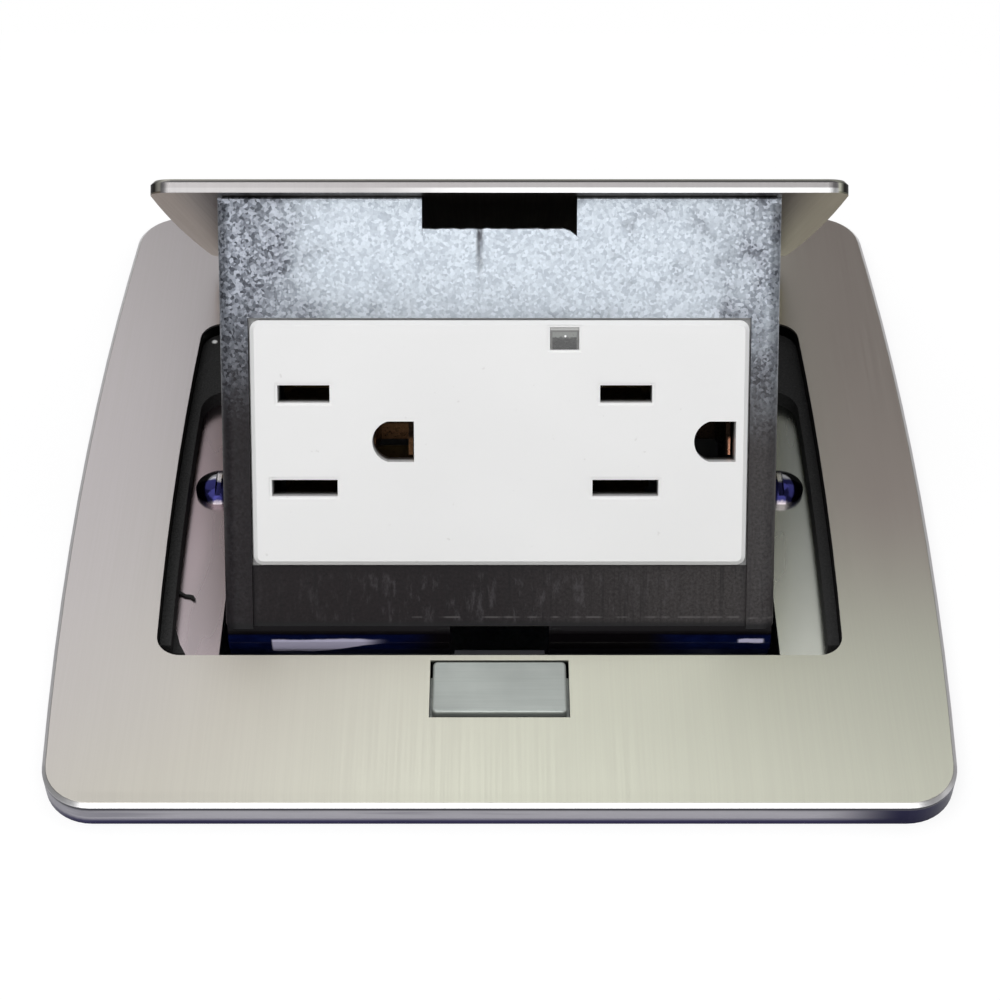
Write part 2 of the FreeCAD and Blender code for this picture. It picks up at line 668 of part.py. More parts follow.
def make_mounting_frame():
    body = new_body("mounting_frame")
    half = s.frame_size / 2
    sketch = new_sketch(body, "XY_Plane", frame_top)
    rectangle(sketch, -half, half, -half, half)
    inner = s.frame_inner_half
    rectangle(sketch, -inner, inner, -s.frame_front, frame_rear_edge)
    pad(body, sketch, s.frame_sheet, back=True)
    dress(body, "Fillet", lambda edge: runs_along(edge, Z_AXIS)
          and abs(middle_of(edge).x) > half.value - 1, s.box_corner - s.box_wall)

    # hinge brackets folded down beside the opening
    front = s.bracket_front
    rear = s.bracket_rear
    depth = frame_under - s.bracket_depth
    round_low = 5.0
    tabs = new_sketch(body, "YZ_Plane", inner)
    outline(tabs, [(front, frame_under), (front, depth + round_low), (front + round_low, depth),
                   (rear - round_low, depth), (rear, depth + round_low), (rear, frame_under)],
            {1: s.box_corner + 1, 3: s.box_corner + 1})
    tab = pad(body, tabs, s.frame_sheet)
    mirror(body, [tab])
    pins = new_sketch(body, "YZ_Plane")
    circle(pins, s.pivot_y, -s.pivot_depth, s.pin_radius)
    pocket(body, pins, s.frame_size, both=True)

    holes = new_sketch(body, "XY_Plane", frame_top)
    for side in (-1, 1):
        circle(holes, side * screw_half_pitch, 0, s.fix_radius + s.fix_clearance)
        circle(holes, side * s.boss_front_x, -s.boss_front_y, s.small_radius + s.small_clearance)
        circle(holes, side * s.boss_rear_x, s.boss_rear_y, s.small_radius + s.small_clearance)
        circle(holes, side * s.housing_screw_x, -s.housing_screw_y,
               s.small_radius + s.small_clearance)
        circle(holes, side * coil_start_x, s.pivot_y + s.coil_radius, s.leg_hole)
    pocket(body, holes, s.frame_sheet)
    passage = new_sketch(body, "XY_Plane", frame_top)
    cut = s.latch_cut_half
    rectangle(passage, -cut, cut, -s.latch_cut_y, 1 - s.frame_front)
    pocket(body, passage, s.frame_sheet)
    window = new_sketch(body, "XY_Plane", frame_top)
    wide = s.button_width / 2 + s.button_tab + s.button_clearance
    rectangle(window, -wide, wide, button_front, button_front + s.button_hole_long - 0.1)
    pocket(body, window, s.frame_sheet)


coil_end_x = carrier_inner - s.coil_side_gap - s.coil_wire / 2
coil_turns = s.coil_whole_turns + (270 - s.leg_angle) / 360
coil_start_x = coil_end_x - coil_turns * s.coil_pitch


def make_pivot_pins():
    body = new_body("pivot_pins")
    bracket = s.frame_inner_half + s.frame_sheet
    sketch = new_sketch(body, "XY_Plane", -s.pivot_depth, shift_y=s.pivot_y)
    groove = s.pin_end_x + s.clip_inset
    shank = s.pin_radius
    neck = shank - s.clip_groove
    dome = s.pin_head * 0.6
    outline(sketch, [(s.pin_end_x, 0), (bracket + s.pin_head, 0),
                     (bracket + s.pin_head, s.pin_head_radius - dome),
                     (bracket + s.pin_head - dome, s.pin_head_radius),
                     (bracket, s.pin_head_radius), (bracket, shank),
                     (groove + s.clip_thick, shank), (groove + s.clip_thick, neck),
                     (groove, neck), (groove, shank), (s.pin_end_x + 0.4, shank),
                     (s.pin_end_x, shank - 0.4)], {2: dome})
    pin = revolve(body, sketch, "H_Axis")
    mirror(body, [pin])


def make_pin_clips():
    body = new_body("pin_clips")
    start = s.pin_end_x + s.clip_inset
    sketch = new_sketch(body, "YZ_Plane", start, shift_x=s.pivot_y, shift_y=-s.pivot_depth)
    circle(sketch, 0, 0, s.clip_radius)
    circle(sketch, 0, 0, s.pin_radius - s.clip_groove)
    ring = pad(body, sketch, s.clip_thick)
    gap = new_sketch(body, "YZ_Plane", start, shift_x=s.pivot_y, shift_y=-s.pivot_depth)
    mouth = s.pin_radius - s.clip_groove
    rectangle(gap, -mouth, mouth, -s.clip_radius - 1, 0)
    slot = pocket(body, gap, s.clip_thick, back=True)
    mirror(body, [ring, slot])


def make_pivot_washers():
    body = new_body("pivot_washers")
    start = carrier_half + s.washer_play
    length = s.frame_inner_half - s.washer_play - start
    sketch = new_sketch(body, "YZ_Plane", start, shift_x=s.pivot_y, shift_y=-s.pivot_depth)
    circle(sketch, 0, 0, s.washer_radius)
    circle(sketch, 0, 0, s.pin_radius + 0.02)
    mirror(body, [pad(body, sketch, length)])


def make_torsion_spring(name, side):
    """A coil on the hinge pin: one leg hooks into the frame, one lifts the carrier's tongue."""
    body = new_body(name)
    wire = s.coil_wire / 2
    sketch = new_sketch(body, "XY_Plane", -s.pivot_depth, shift_y=s.pivot_y)
    circle(sketch, side * coil_start_x, s.coil_radius, wire)
    coil = body.newObject("PartDesign::AdditiveHelix", name + "_coil")
    coil.Profile = sketch
    coil.ReferenceAxis = (sketch, ["H_Axis"])
    coil.Mode = "pitch-turns-angle"
    bind(coil, "Pitch", s.coil_pitch)
    bind(coil, "Turns", coil_turns)
    coil.LeftHanded = side > 0
    coil.Reversed = side < 0
    hook = new_sketch(body, "XY_Plane", -s.pivot_depth)
    circle(hook, side * coil_start_x, s.pivot_y + s.coil_radius, wire)
    pad(body, hook, s.leg_rise)
    leg = new_sketch(body, "XY_Plane")
    exit_y, exit_z = on_circle(s.coil_radius, s.leg_angle + 90)
    leg.AttachmentOffset = FreeCAD.Placement(Vector(), FreeCAD.Rotation(X_AXIS, 60))
    bind(leg, "AttachmentOffset.Rotation.Angle", s.leg_angle - 90)
    bind(leg, "AttachmentOffset.Base.y", s.pivot_y + exit_y)
    bind(leg, "AttachmentOffset.Base.z", exit_z - s.pivot_depth)
    circle(leg, side * coil_end_x, 0, wire)
    pad(body, leg, s.leg_length)


def make_stop_bumpers():
    body = new_body("stop_bumpers")
    sketch = new_sketch(body, "XY_Plane", frame_top)
    middle = carrier_half - s.carrier_sheet / 2
    half = s.bumper_width / 2
    rectangle(sketch, middle - half, middle + half, bumper_front, frame_rear_edge)
    mirror(body, [pad(body, sketch, s.frame_sheet, back=True)])


# ---- fasteners ------------------------------------------------------------------------------

def screw(body, x, y, seat, radius, length, head_radius, head, up=1, dome=False, role="XZ_Plane"):
    """A screw whose head stands on a seat; up is -1 for a head that points down."""
    sketch = new_sketch(body, role, y, shift_x=x, shift_y=seat)
    tip = radius * 0.3
    points = [(0, -up * length), (radius - tip, -up * length), (radius, up * (tip - length)),
              (radius, 0), (head_radius, 0)]
    arcs = {}
    if dome:
        rim = head * 0.3
        points += [(head_radius, up * rim), (0, up * head)]
        rise = head - rim
        arcs[5] = up * bow_radius(as_size(head_radius), rise)
    else:
        edge = head * 0.15
        points += [(head_radius, up * (head - edge)), (head_radius - edge, up * head),
                   (0, up * head)]
    outline(sketch, points, arcs)
    return revolve(body, sketch)


def make_fixing_screws():
    body = new_body("fixing_screws")
    item = screw(body, screw_half_pitch, 0, frame_top, s.fix_radius, s.fix_length,
                 s.fix_head_radius, s.fix_head, dome=True)
    slot = new_sketch(body, "XY_Plane", frame_top + s.fix_head, shift_x=screw_half_pitch)
    half = s.drive_width / 2
    rectangle(slot, -half, half, -s.fix_head_radius, s.fix_head_radius)
    cut = pocket(body, slot, s.drive_depth)
    mirror(body, [item, cut])


def make_frame_screws():
    body = new_body("frame_screws")
    length = s.frame_sheet + s.plate_skin
    items = []
    for x, y in ((s.boss_front_x, s.boss_front_y), (s.boss_rear_x, -s.boss_rear_y)):
        items.append(screw(body, x, y, frame_under, s.small_radius, length,
                           s.small_head_radius, s.small_head, up=-1))
    mirror(body, items)


def make_housing_screws():
    body = new_body("latch_housing_screws")
    length = s.housing_wing_thick + s.frame_sheet + 0.8
    item = screw(body, s.housing_screw_x, s.housing_screw_y, frame_under - s.housing_wing_thick,
                 s.small_radius, length, s.small_head_radius, s.small_head, up=-1)
    mirror(body, [item])


# ---- seals ----------------------------------------------------------------------------------

def opening_side(y, inset):
    """Half width of the opening at a depth y, less an inset."""
    off = y - opening_middle
    reach = root(opening_bow_r * opening_bow_r - off * off)
    return opening_mid_width / 2 - opening_bow_r + reach - inset


def make_opening_seal():
    body = new_body("opening_seal")
    sketch = new_sketch(body, "XY_Plane", frame_top)
    skin = 0.05
    low = s.opening_corner - s.opening_front
    high = s.opening_rear - s.opening_corner
    turn = s.seal_wide_from - s.seal_corner
    narrow = s.seal_width
    step_x = opening_side(turn, narrow) - s.seal_corner
    inner = s.frame_inner_half + 0.4
    points = [(opening_side(low, narrow), low), (opening_side(low, skin), low),
              (opening_side(high, skin), high),
              (opening_side(high, skin) - s.opening_corner, s.opening_rear - skin),
              (inner, s.opening_rear - skin), (inner, s.seal_wide_from),
              (step_x, s.seal_wide_from), (opening_side(turn, narrow), turn)]
    outline(sketch, points, {1: opening_bow_r - skin, 2: s.opening_corner, 6: -1 * s.seal_corner,
                             7: narrow - opening_bow_r})
    mirror(body, [pad(body, sketch, s.seal_thick)])


def make_floor_gasket():
    body = new_body("floor_gasket")
    sketch = new_sketch(body, "XY_Plane", -s.plate_height)
    edge = s.plate_skirt + 0.2
    bowed(sketch, s.plate_end_width / 2 - edge, edge - s.plate_depth / 2,
          s.plate_depth / 2 - edge, plate_bow_r - edge)
    pad(body, sketch, s.plate_height - s.plate_skin - 0.05)
    dress(body, "Fillet", lambda item: runs_along(item, Z_AXIS), s.plate_corner - edge)
    hole = new_sketch(body, "XY_Plane", -s.plate_height)
    half = s.box_size / 2 + s.gasket_gap
    rectangle(hole, -half, half, -half, half)
    pocket(body, hole, s.plate_height, back=True)


# ---- receptacle -----------------------------------------------------------------------------

def make_receptacle_face():
    body = new_body("receptacle_face", "panel")
    half = s.face_width / 2
    sketch = new_sketch(body, "XY_Plane", shell_front)
    rectangle(sketch, -half, half, face_low, face_top)
    pad(body, sketch, s.carrier_sheet + s.face_proud)
    dress(body, "Fillet", lambda edge: runs_along(edge, Z_AXIS), s.face_corner)
    dress(body, "Chamfer", lambda edge: near(edge.BoundBox.ZMin, s.face_proud)
          and near(edge.BoundBox.ZMax, s.face_proud), s.face_bevel)
    flange = new_sketch(body, "XY_Plane", shell_front)
    rectangle(flange, -s.shell_width / 2, s.shell_width / 2, shell_low, shell_top)
    pad(body, flange, s.shell_flange, back=True)
    dress(body, "Fillet", lambda edge: runs_along(edge, Z_AXIS)
          and near(abs(middle_of(edge).x), s.shell_width / 2), s.shell_corner)
    slots = new_sketch(body, "XY_Plane", s.face_proud)
    for x in outlet_xs:
        for y, long, thick in ((hot_slot_y, s.hot_slot_long, s.hot_slot_thick),
                               (neutral_slot_y, s.neutral_slot_long, s.neutral_slot_thick)):
            rectangle(slots, x - long / 2, x + long / 2, y - thick / 2, y + thick / 2)
        left = x + s.ground_offset - s.ground_long / 2
        right = left + s.ground_long
        tall = s.ground_tall / 2
        bend = left + tall
        outline(slots, [(right, ground_y - tall), (right, ground_y + tall),
                        (bend, ground_y + tall), (bend, ground_y - tall)], {2: tall * 1.04})
    half = s.lens_width / 2
    lens_top = face_top - s.lens_drop + s.lens_height / 2
    rectangle(slots, s.lens_x - half, s.lens_x + half, lens_top - s.lens_height, lens_top)
    pocket(body, slots, s.face_proud + s.carrier_sheet + s.shell_flange + 1)
    rims = new_sketch(body, "XY_Plane", s.face_proud)
    for x in outlet_xs:
        for y, long, thick in ((hot_slot_y, s.hot_slot_long, s.hot_slot_thick),
                               (neutral_slot_y, s.neutral_slot_long, s.neutral_slot_thick)):
            rectangle(rims, x - long / 2 - s.slot_rim, x + long / 2 + s.slot_rim,
                      y - thick / 2 - s.slot_rim, y + thick / 2 + s.slot_rim)
    rectangle(rims, s.lens_x - half - s.slot_rim, s.lens_x + half + s.slot_rim,
              lens_top - s.lens_height - s.slot_rim, lens_top + s.slot_rim)
    pocket(body, rims, s.slot_rim_deep)


def make_indicator_lens():
    body = new_body("indicator_lens", "panel")
    gap = s.lens_gap
    half = s.lens_width / 2 - gap
    lens_top = face_top - s.lens_drop + s.lens_height / 2
    sketch = new_sketch(body, "XY_Plane", s.face_proud - s.lens_sink)
    rectangle(sketch, s.lens_x - half, s.lens_x + half, lens_top - s.lens_height + gap,
              lens_top - gap)
    pad(body, sketch, s.lens_depth, back=True)


post_ys = [face_middle + s.post_drop, face_middle - s.post_drop]


def make_receptacle_body():
    body = new_body("receptacle_body", "panel")
    sketch = new_sketch(body, "XY_Plane", shell_split)
    rectangle(sketch, -s.shell_width / 2, s.shell_width / 2, shell_low, shell_top)
    pad(body, sketch, s.shell_depth, back=True)
    dress(body, "Fillet", lambda edge: runs_along(edge, Z_AXIS), s.shell_corner)
    wall = s.shell_wall
    hollow = new_sketch(body, "XY_Plane", shell_split)
    rectangle(hollow, wall - s.shell_width / 2, s.shell_width / 2 - wall, shell_low + wall,
              shell_top - wall)
    pocket(body, hollow, s.shell_depth - wall)
    posts = new_sketch(body, "XY_Plane", shell_back)
    for y in post_ys:
        circle(posts, 0, y, s.post_radius)
    pad(body, posts, s.shell_depth)
    holes = new_sketch(body, "XY_Plane", shell_back)
    for y in post_ys:
        circle(holes, 0, y, s.shell_screw_radius)
    pocket(body, holes, s.shell_depth - 2, back=True)
    stud = new_sketch(body, "XY_Plane", shell_back)
    circle(stud, ground_stud_x, face_middle, s.rivet_radius + 0.1)
    pocket(body, stud, wall + 0.1, back=True)
    terminals = new_sketch(body, "XZ_Plane", -shell_low + 1)
    for x in (-s.terminal_x, s.terminal_x):
        circle(terminals, x, terminal_z, s.terminal_radius)
    pocket(body, terminals, s.shell_height + 2)


ground_stud_x = outlet_xs[0] + s.ground_offset + s.outlet_pitch / 2
terminal_z = shell_split - s.terminal_depth + s.terminal_head_radius


def make_contacts(name, slot_y, slot_thick, side):
    """A bus strip with a pair of leaves behind each slot, and a foot under each terminal."""
    body = new_body(name, "panel")
    sheet_t = s.contact_sheet
    back = shell_split - s.contact_gap - s.contact_depth
    half = s.bus_height / 2
    bus = new_sketch(body, "XY_Plane", back)
    low = slot_y - half
    high = slot_y + half
    rectangle(bus, outlet_xs[0] - s.bus_reach, outlet_xs[1] + s.bus_reach, low, high)
    pad(body, bus, sheet_t, back=True)
    leaves = new_sketch(body, "XY_Plane", back)
    inner = slot_thick / 2 + s.leaf_gap
    for x in outlet_xs:
        reach = s.hot_slot_long / 2 - 0.4
        rectangle(leaves, x - reach, x + reach, slot_y + inner, slot_y + inner + sheet_t)
        rectangle(leaves, x - reach, x + reach, slot_y - inner - sheet_t, slot_y - inner)
    pad(body, leaves, s.contact_depth)
    wall_y = face_middle + side * (s.shell_height / 2 - s.shell_wall - 0.1)
    foot_y = wall_y - side * sheet_t
    edge_y = slot_y + side * (half - 0.2)
    tabs = new_sketch(body, "XY_Plane", back)
    feet = new_sketch(body, "XY_Plane", back - sheet_t)
    tab = s.tab_width / 2
    for x in (-s.terminal_x, s.terminal_x):
        ends = (edge_y, wall_y) if side > 0 else (wall_y, edge_y)
        rectangle(tabs, x - tab, x + tab, ends[0], ends[1])
        ends = (foot_y, wall_y) if side > 0 else (wall_y, foot_y)
        rectangle(feet, x - tab, x + tab, ends[0], ends[1])
    pad(body, tabs, sheet_t, back=True)
    pad(body, feet, terminal_z - back + sheet_t + s.terminal_radius + 1.5)
    holes = new_sketch(body, "XZ_Plane", -wall_y)
    for x in (-s.terminal_x, s.terminal_x):
        circle(holes, x, terminal_z, s.terminal_radius)
    pocket(body, holes, 4 * sheet_t, both=True)


def make_ground_contacts():
    body = new_body("ground_contacts", "panel")
    sheet_t = s.contact_sheet
    back = shell_split - s.contact_gap - s.contact_depth
    half = s.ground_tall / 2 - 0.35
    inner = s.ground_long / 2 - 0.9
    centres = [x + s.ground_offset for x in outlet_xs]
    bus = new_sketch(body, "XY_Plane", back)
    rectangle(bus, centres[0] - inner - sheet_t, centres[1] + inner + sheet_t,
              ground_y - half, ground_y + half)
    pad(body, bus, sheet_t, back=True)
    leaves = new_sketch(body, "XY_Plane", back)
    for x in centres:
        rectangle(leaves, x - inner - sheet_t, x - inner, ground_y - half, ground_y + half)
        rectangle(leaves, x + inner, x + inner + sheet_t, ground_y - half, ground_y + half)
    pad(body, leaves, s.contact_depth)
    stud = new_sketch(body, "XY_Plane", back - sheet_t)
    circle(stud, ground_stud_x, face_middle, s.rivet_radius)
    pad(body, stud, back - sheet_t - shell_back, back=True)


def make_terminal_screws(name, side):
    body = new_body(name, "panel")
    seat = face_middle + side * s.shell_height / 2
    for x in (-s.terminal_x, s.terminal_x):
        screw(body, x, terminal_z, seat, s.terminal_radius, s.terminal_length,
              s.terminal_head_radius, s.terminal_head, up=side, role="XY_Plane")
    slots = new_sketch(body, "XZ_Plane", -(seat + side * s.terminal_head))
    half = s.drive_width / 2
    for x in (-s.terminal_x, s.terminal_x):
        rectangle(slots, x - s.terminal_head_radius, x + s.terminal_head_radius,
                  terminal_z - half, terminal_z + half)
    pocket(body, slots, 2 * s.drive_depth, both=True)


def make_receptacle_strap():
    body = new_body("receptacle_strap", "panel")
    sketch = new_sketch(body, "XZ_Plane", -face_middle)
    outer = carrier_inner
    inner = outer - s.strap_sheet
    under = shell_back - s.strap_sheet
    high = under + s.strap_foot
    outline(sketch, [(-outer, under), (outer, under), (outer, high), (inner, high),
                     (inner, shell_back), (-inner, shell_back), (-inner, high), (-outer, high)])
    pad(body, sketch, s.strap_height, both=True)
    dress(body, "Fillet", lambda edge: runs_along(edge, Y_AXIS)
          and near(middle_of(edge).z, under), s.bend_radius)
    holes = new_sketch(body, "YZ_Plane")
    circle(holes, face_middle, shell_front - rivet_depth, s.rivet_radius)
    pocket(body, holes, s.carrier_width, both=True)
    earth = new_sketch(body, "XY_Plane", shell_back)
    circle(earth, s.ground_screw_x, face_middle, s.terminal_radius)
    pocket(body, earth, 2 * s.strap_sheet)


def make_strap_rivets():
    body = new_body("strap_rivets", "panel")
    sketch = new_sketch(body, "XY_Plane", shell_front - rivet_depth, shift_y=face_middle)
    inner = carrier_inner - s.strap_sheet
    points = [(inner - s.rivet_head, 0), (carrier_half + s.rivet_head, 0),
              (carrier_half + s.rivet_head, s.rivet_head_radius - 0.4),
              (carrier_half + s.rivet_head - 0.4, s.rivet_head_radius),
              (carrier_half, s.rivet_head_radius), (carrier_half, s.rivet_radius),
              (inner, s.rivet_radius), (inner, s.rivet_head_radius - 0.4),
              (inner - s.rivet_head, s.rivet_head_radius - 0.8)]
    outline(sketch, points)
    mirror(body, [revolve(body, sketch, "H_Axis")])


def make_ground_terminal_screw():
    body = new_body("ground_terminal_screw", "panel")
    screw(body, s.ground_screw_x, -face_middle, shell_back - s.strap_sheet, s.terminal_radius,
          s.strap_sheet - 0.05, s.terminal_head_radius, s.terminal_head, up=-1)


def make_receptacle_screws():
    body = new_body("receptacle_screws", "panel")
    for y in post_ys:
        screw(body, 0, -y, shell_back, s.shell_screw_radius, s.shell_depth * 0.7,
              s.small_head_radius, s.small_head, up=-1)


# ---- button and latch -----------------------------------------------------------------------

def make_release_button():
    body = new_body("release_button")
    half = s.button_width / 2
    long_half = s.button_long / 2
    sketch = new_sketch(body, "XY_Plane", s.button_rise)
    rectangle(sketch, -half, half, button_middle_y - long_half, button_middle_y + long_half)
    pad(body, sketch, s.button_rise + s.button_drop, back=True)
    dress(body, "Fillet", lambda edge: runs_along(edge, Z_AXIS), s.button_corner)
    dress(body, "Fillet", lambda edge: near(edge.BoundBox.ZMin, s.button_rise)
          and near(edge.BoundBox.ZMax, s.button_rise), s.button_corner / 2)
    tabs = new_sketch(body, "XY_Plane", -s.plate_skin - s.button_tab_gap)
    reach = half + s.button_tab
    wide = long_half - s.button_corner
    rectangle(tabs, -reach, reach, button_middle_y - wide, button_middle_y + wide)
    pad(body, tabs, s.button_tab_thick, back=True)
    wedge = new_sketch(body, "YZ_Plane")
    nose_drop = (s.wedge_nose - s.wedge_front) / s.wedge_slope
    outline(wedge, [(-s.wedge_front, -s.wedge_tip), (-s.wedge_back, -s.wedge_tip),
                    (-s.wedge_back, 0.1 - s.button_drop), (-s.wedge_nose, 0.1 - s.button_drop),
                    (-s.wedge_nose, nose_drop - s.wedge_tip)])
    pad(body, wedge, s.wedge_width, both=True)


def make_latch_bolt():
    body = new_body("latch_bolt")
    low = -s.bolt_top - s.bolt_thick
    top = -s.bolt_top
    sketch = new_sketch(body, "YZ_Plane")
    outline(sketch, [(-s.bolt_front, low), (-s.bolt_post_back, low),
                     (-s.bolt_post_back, -s.bolt_tip_under), (-s.bolt_tip, -s.bolt_tip_under),
                     (-s.bolt_tip, -s.bolt_tip_nose),
                     (s.bolt_tip_top - s.bolt_tip_nose - s.bolt_tip + 0.3, -s.bolt_tip_top),
                     (-s.bolt_post_front, -s.bolt_tip_top), (-s.bolt_post_front, top),
                     (-s.bolt_front, top)])
    pad(body, sketch, 2 * s.bolt_half, both=True)
    tab = new_sketch(body, "YZ_Plane")
    rectangle(tab, -s.bolt_tab_front, -s.bolt_tab_back, -s.bolt_tab_low, low + 0.2)
    pad(body, tab, 2 * s.bolt_tab_half, both=True)
    window = new_sketch(body, "YZ_Plane")
    over = 1.0

    def wedge_line(z):
        return -(s.wedge_front + s.bolt_gap) - s.wedge_slope * (z + s.wedge_tip)

    outline(window, [(wedge_line(low - over), low - over), (-s.bolt_window_back, low - over),
                     (-s.bolt_window_back, top + over), (wedge_line(top + over), top + over)])
    pocket(body, window, 2 * s.bolt_window_half, both=True)


def make_latch_housing():
    body = new_body("latch_housing")
    inner = s.bolt_half + s.housing_gap
    outer = inner + s.housing_side
    sketch = new_sketch(body, "XY_Plane", frame_under)
    rectangle(sketch, -outer, outer, -s.housing_front, -s.housing_back)
    pad(body, sketch, s.housing_low + frame_under, back=True)
    channel = new_sketch(body, "XY_Plane", frame_under)
    rectangle(channel, -inner, inner, s.housing_wall - s.housing_front, 1 - s.housing_back)
    pocket(body, channel, s.housing_low + frame_under - s.housing_wall)
    runway = new_sketch(body, "XY_Plane", frame_under)
    rectangle(runway, -inner, inner, -s.housing_front - 1, 1 - s.housing_back)
    pocket(body, runway, s.bolt_top + s.bolt_thick + s.bolt_play + frame_under)
    ledges = new_sketch(body, "XY_Plane", -s.bolt_top - s.bolt_thick - s.bolt_play)
    for side in (-1, 1):
        ends = sorted((side * (inner - s.housing_ledge), side * (inner + 0.2)),
                      key=lambda size: size.value)
        rectangle(ledges, ends[0], ends[1], -s.housing_front + 0.2, -s.housing_back)
    pad(body, ledges, s.housing_ledge, back=True)
    wings = new_sketch(body, "XY_Plane", frame_under)
    front = button_middle_y - s.button_spring_radius - 2.2
    for side in (-1, 1):
        ends = sorted((side * (outer - 0.2), side * s.housing_wing), key=lambda size: size.value)
        rectangle(wings, ends[0], ends[1], front, -s.housing_back)
    pad(body, wings, s.housing_wing_thick, back=True)
    holes = new_sketch(body, "XY_Plane", frame_under)
    for side in (-1, 1):
        circle(holes, side * s.housing_screw_x, -s.housing_screw_y,
               s.small_radius + s.small_clearance)
    pocket(body, holes, s.housing_wing_thick)
    wells = new_sketch(body, "XY_Plane", frame_under)
    for side in (-1, 1):
        circle(wells, side * s.button_spring_x, button_middle_y,
               s.button_spring_radius + s.button_spring_wire / 2 + 0.15)
    pocket(body, wells, s.button_spring_low + frame_under)


def make_helix(body, sketch, axis, height, turns):
    coil = body.newObject("PartDesign::AdditiveHelix", body.Name + "_coil")
    coil.Profile = sketch
    coil.ReferenceAxis = (sketch, [axis])
    coil.Mode = "height-turns-angle"
    bind(coil, "Height", height)
    bind(coil, "Turns", turns)
    return coil


def make_latch_spring():
    body = new_body("latch_spring")
    wire = s.latch_spring_wire / 2
    low = s.housing_wall - s.housing_front + wire
    high = -s.bolt_tab_front - wire
    sketch = new_sketch(body, "YZ_Plane", shift_y=-s.latch_spring_drop)
    circle(sketch, low, s.latch_spring_radius, wire)
    make_helix(body, sketch, "H_Axis", high - low, s.latch_spring_turns)


def make_button_springs():
    body = new_body("button_springs")
    wire = s.button_spring_wire / 2
    low = wire - s.button_spring_low
    high = -s.plate_skin - s.button_tab_gap - s.button_tab_thick - wire
    coils = []
    sketch = new_sketch(body, "XZ_Plane", -button_middle_y, shift_x=s.button_spring_x)
    circle(sketch, s.button_spring_radius, low, wire)
    coils.append(make_helix(body, sketch, "V_Axis", high - low, s.button_spring_turns))
    mirror(body, coils)


# ---- back box -------------------------------------------------------------------------------

def make_floor_box():
    body = new_body("floor_box", "box")
    half = s.box_size / 2
    wall = s.box_wall
    sketch = new_sketch(body, "XY_Plane")
    rectangle(sketch, -half, half, -half, half)
    pad(body, sketch, s.box_depth)
    dress(body, "Fillet", lambda edge: runs_along(edge, Z_AXIS), s.box_corner)
    hollow = new_sketch(body, "XY_Plane", wall)
    rectangle(hollow, wall - half, half - wall, wall - half, half - wall)
    pocket(body, hollow, s.box_depth, back=True)
    dress(body, "Fillet", lambda edge: runs_along(edge, Z_AXIS)
          and near(abs(middle_of(edge).x), half - wall), s.box_corner - wall)

    ear_high = s.box_depth - s.frame_sheet
    ears = new_sketch(body, "XZ_Plane")
    inner = s.frame_inner_half
    side = half - wall
    outline(ears, [(inner, ear_high - s.ear_sheet), (side - s.ear_sheet, ear_high - s.ear_sheet),
                   (side - s.ear_sheet, ear_high - s.ear_leg), (side + 0.2, ear_high - s.ear_leg),
                   (side + 0.2, ear_high), (inner, ear_high)])
    ear = pad(body, ears, s.ear_width, both=True)
    mirror(body, [ear])
    taps = new_sketch(body, "XY_Plane", ear_high)
    for sign in (-1, 1):
        circle(taps, sign * screw_half_pitch, 0, s.fix_radius)
    pocket(body, taps, 2 * s.ear_sheet)

    knockout = new_sketch(body, "XZ_Plane", half)
    circle(knockout, 0, s.knockout_height, s.knockout_radius)
    circle(knockout, 0, s.knockout_height, s.knockout_radius - s.knockout_groove)
    cut = pocket(body, knockout, s.knockout_cut)
    around = body.newObject("PartDesign::PolarPattern", "floor_box_knockouts")
    around.Originals = [cut]
    around.Axis = ([item for item in body.Origin.OriginFeatures if item.Role == "Z_Axis"][0], [""])
    around.Angle = 360
    around.Occurrences = 4
    body.Tip = around
    anchors = new_sketch(body, "XY_Plane")
    pitch = s.anchor_pitch / 2
    for x in (-pitch, pitch):
        for y in (-pitch, pitch):
            circle(anchors, x, y, s.anchor_hole)
    pocket(body, anchors, wall, back=True)
    boss = new_sketch(body, "XY_Plane", wall)
    circle(boss, s.earth_x, s.earth_y, s.earth_boss)
    pad(body, boss, s.earth_boss_height)
    tap = new_sketch(body, "XY_Plane", wall + s.earth_boss_height)
    circle(tap, s.earth_x, s.earth_y, s.earth_radius)
    pocket(body, tap, s.earth_boss_height)


def make_box_ground_screw():
    body = new_body("box_ground_screw", "box")
    screw(body, s.earth_x, -s.earth_y, s.box_wall + s.earth_boss_height, s.earth_radius,
          s.earth_boss_height - 0.1, s.earth_head_radius, s.earth_head)
    slot = new_sketch(body, "XY_Plane", s.box_wall + s.earth_boss_height + s.earth_head)
    half = s.drive_width / 2
    rectangle(slot, s.earth_x - s.earth_head_radius, s.earth_x + s.earth_head_radius,
              s.earth_y - half, s.earth_y + half)
    pocket(body, slot, s.drive_depth)


make_cover_plate()
make_lid()
make_lid_nuts()
make_carrier_bracket()
make_mounting_frame()
make_pivot_pins()
make_pin_clips()
make_pivot_washers()
make_torsion_spring("torsion_spring_right", 1)
make_torsion_spring("torsion_spring_left", -1)
make_stop_bumpers()
make_fixing_screws()
make_frame_screws()
make_housing_screws()
make_opening_seal()
make_floor_gasket()
make_receptacle_face()
make_indicator_lens()
make_receptacle_body()
make_contacts("line_contacts", hot_slot_y, s.hot_slot_thick, 1)
make_contacts("neutral_contacts", neutral_slot_y, s.neutral_slot_thick, -1)
make_ground_contacts()
make_terminal_screws("line_terminal_screws", 1)
make_terminal_screws("neutral_terminal_screws", -1)
make_ground_terminal_screw()
make_receptacle_strap()
make_strap_rivets()
make_receptacle_screws()
make_release_button()
make_latch_bolt()
make_latch_housing()
make_latch_spring()
make_button_springs()
make_floor_box()
make_box_ground_screw()
doc.recompute()

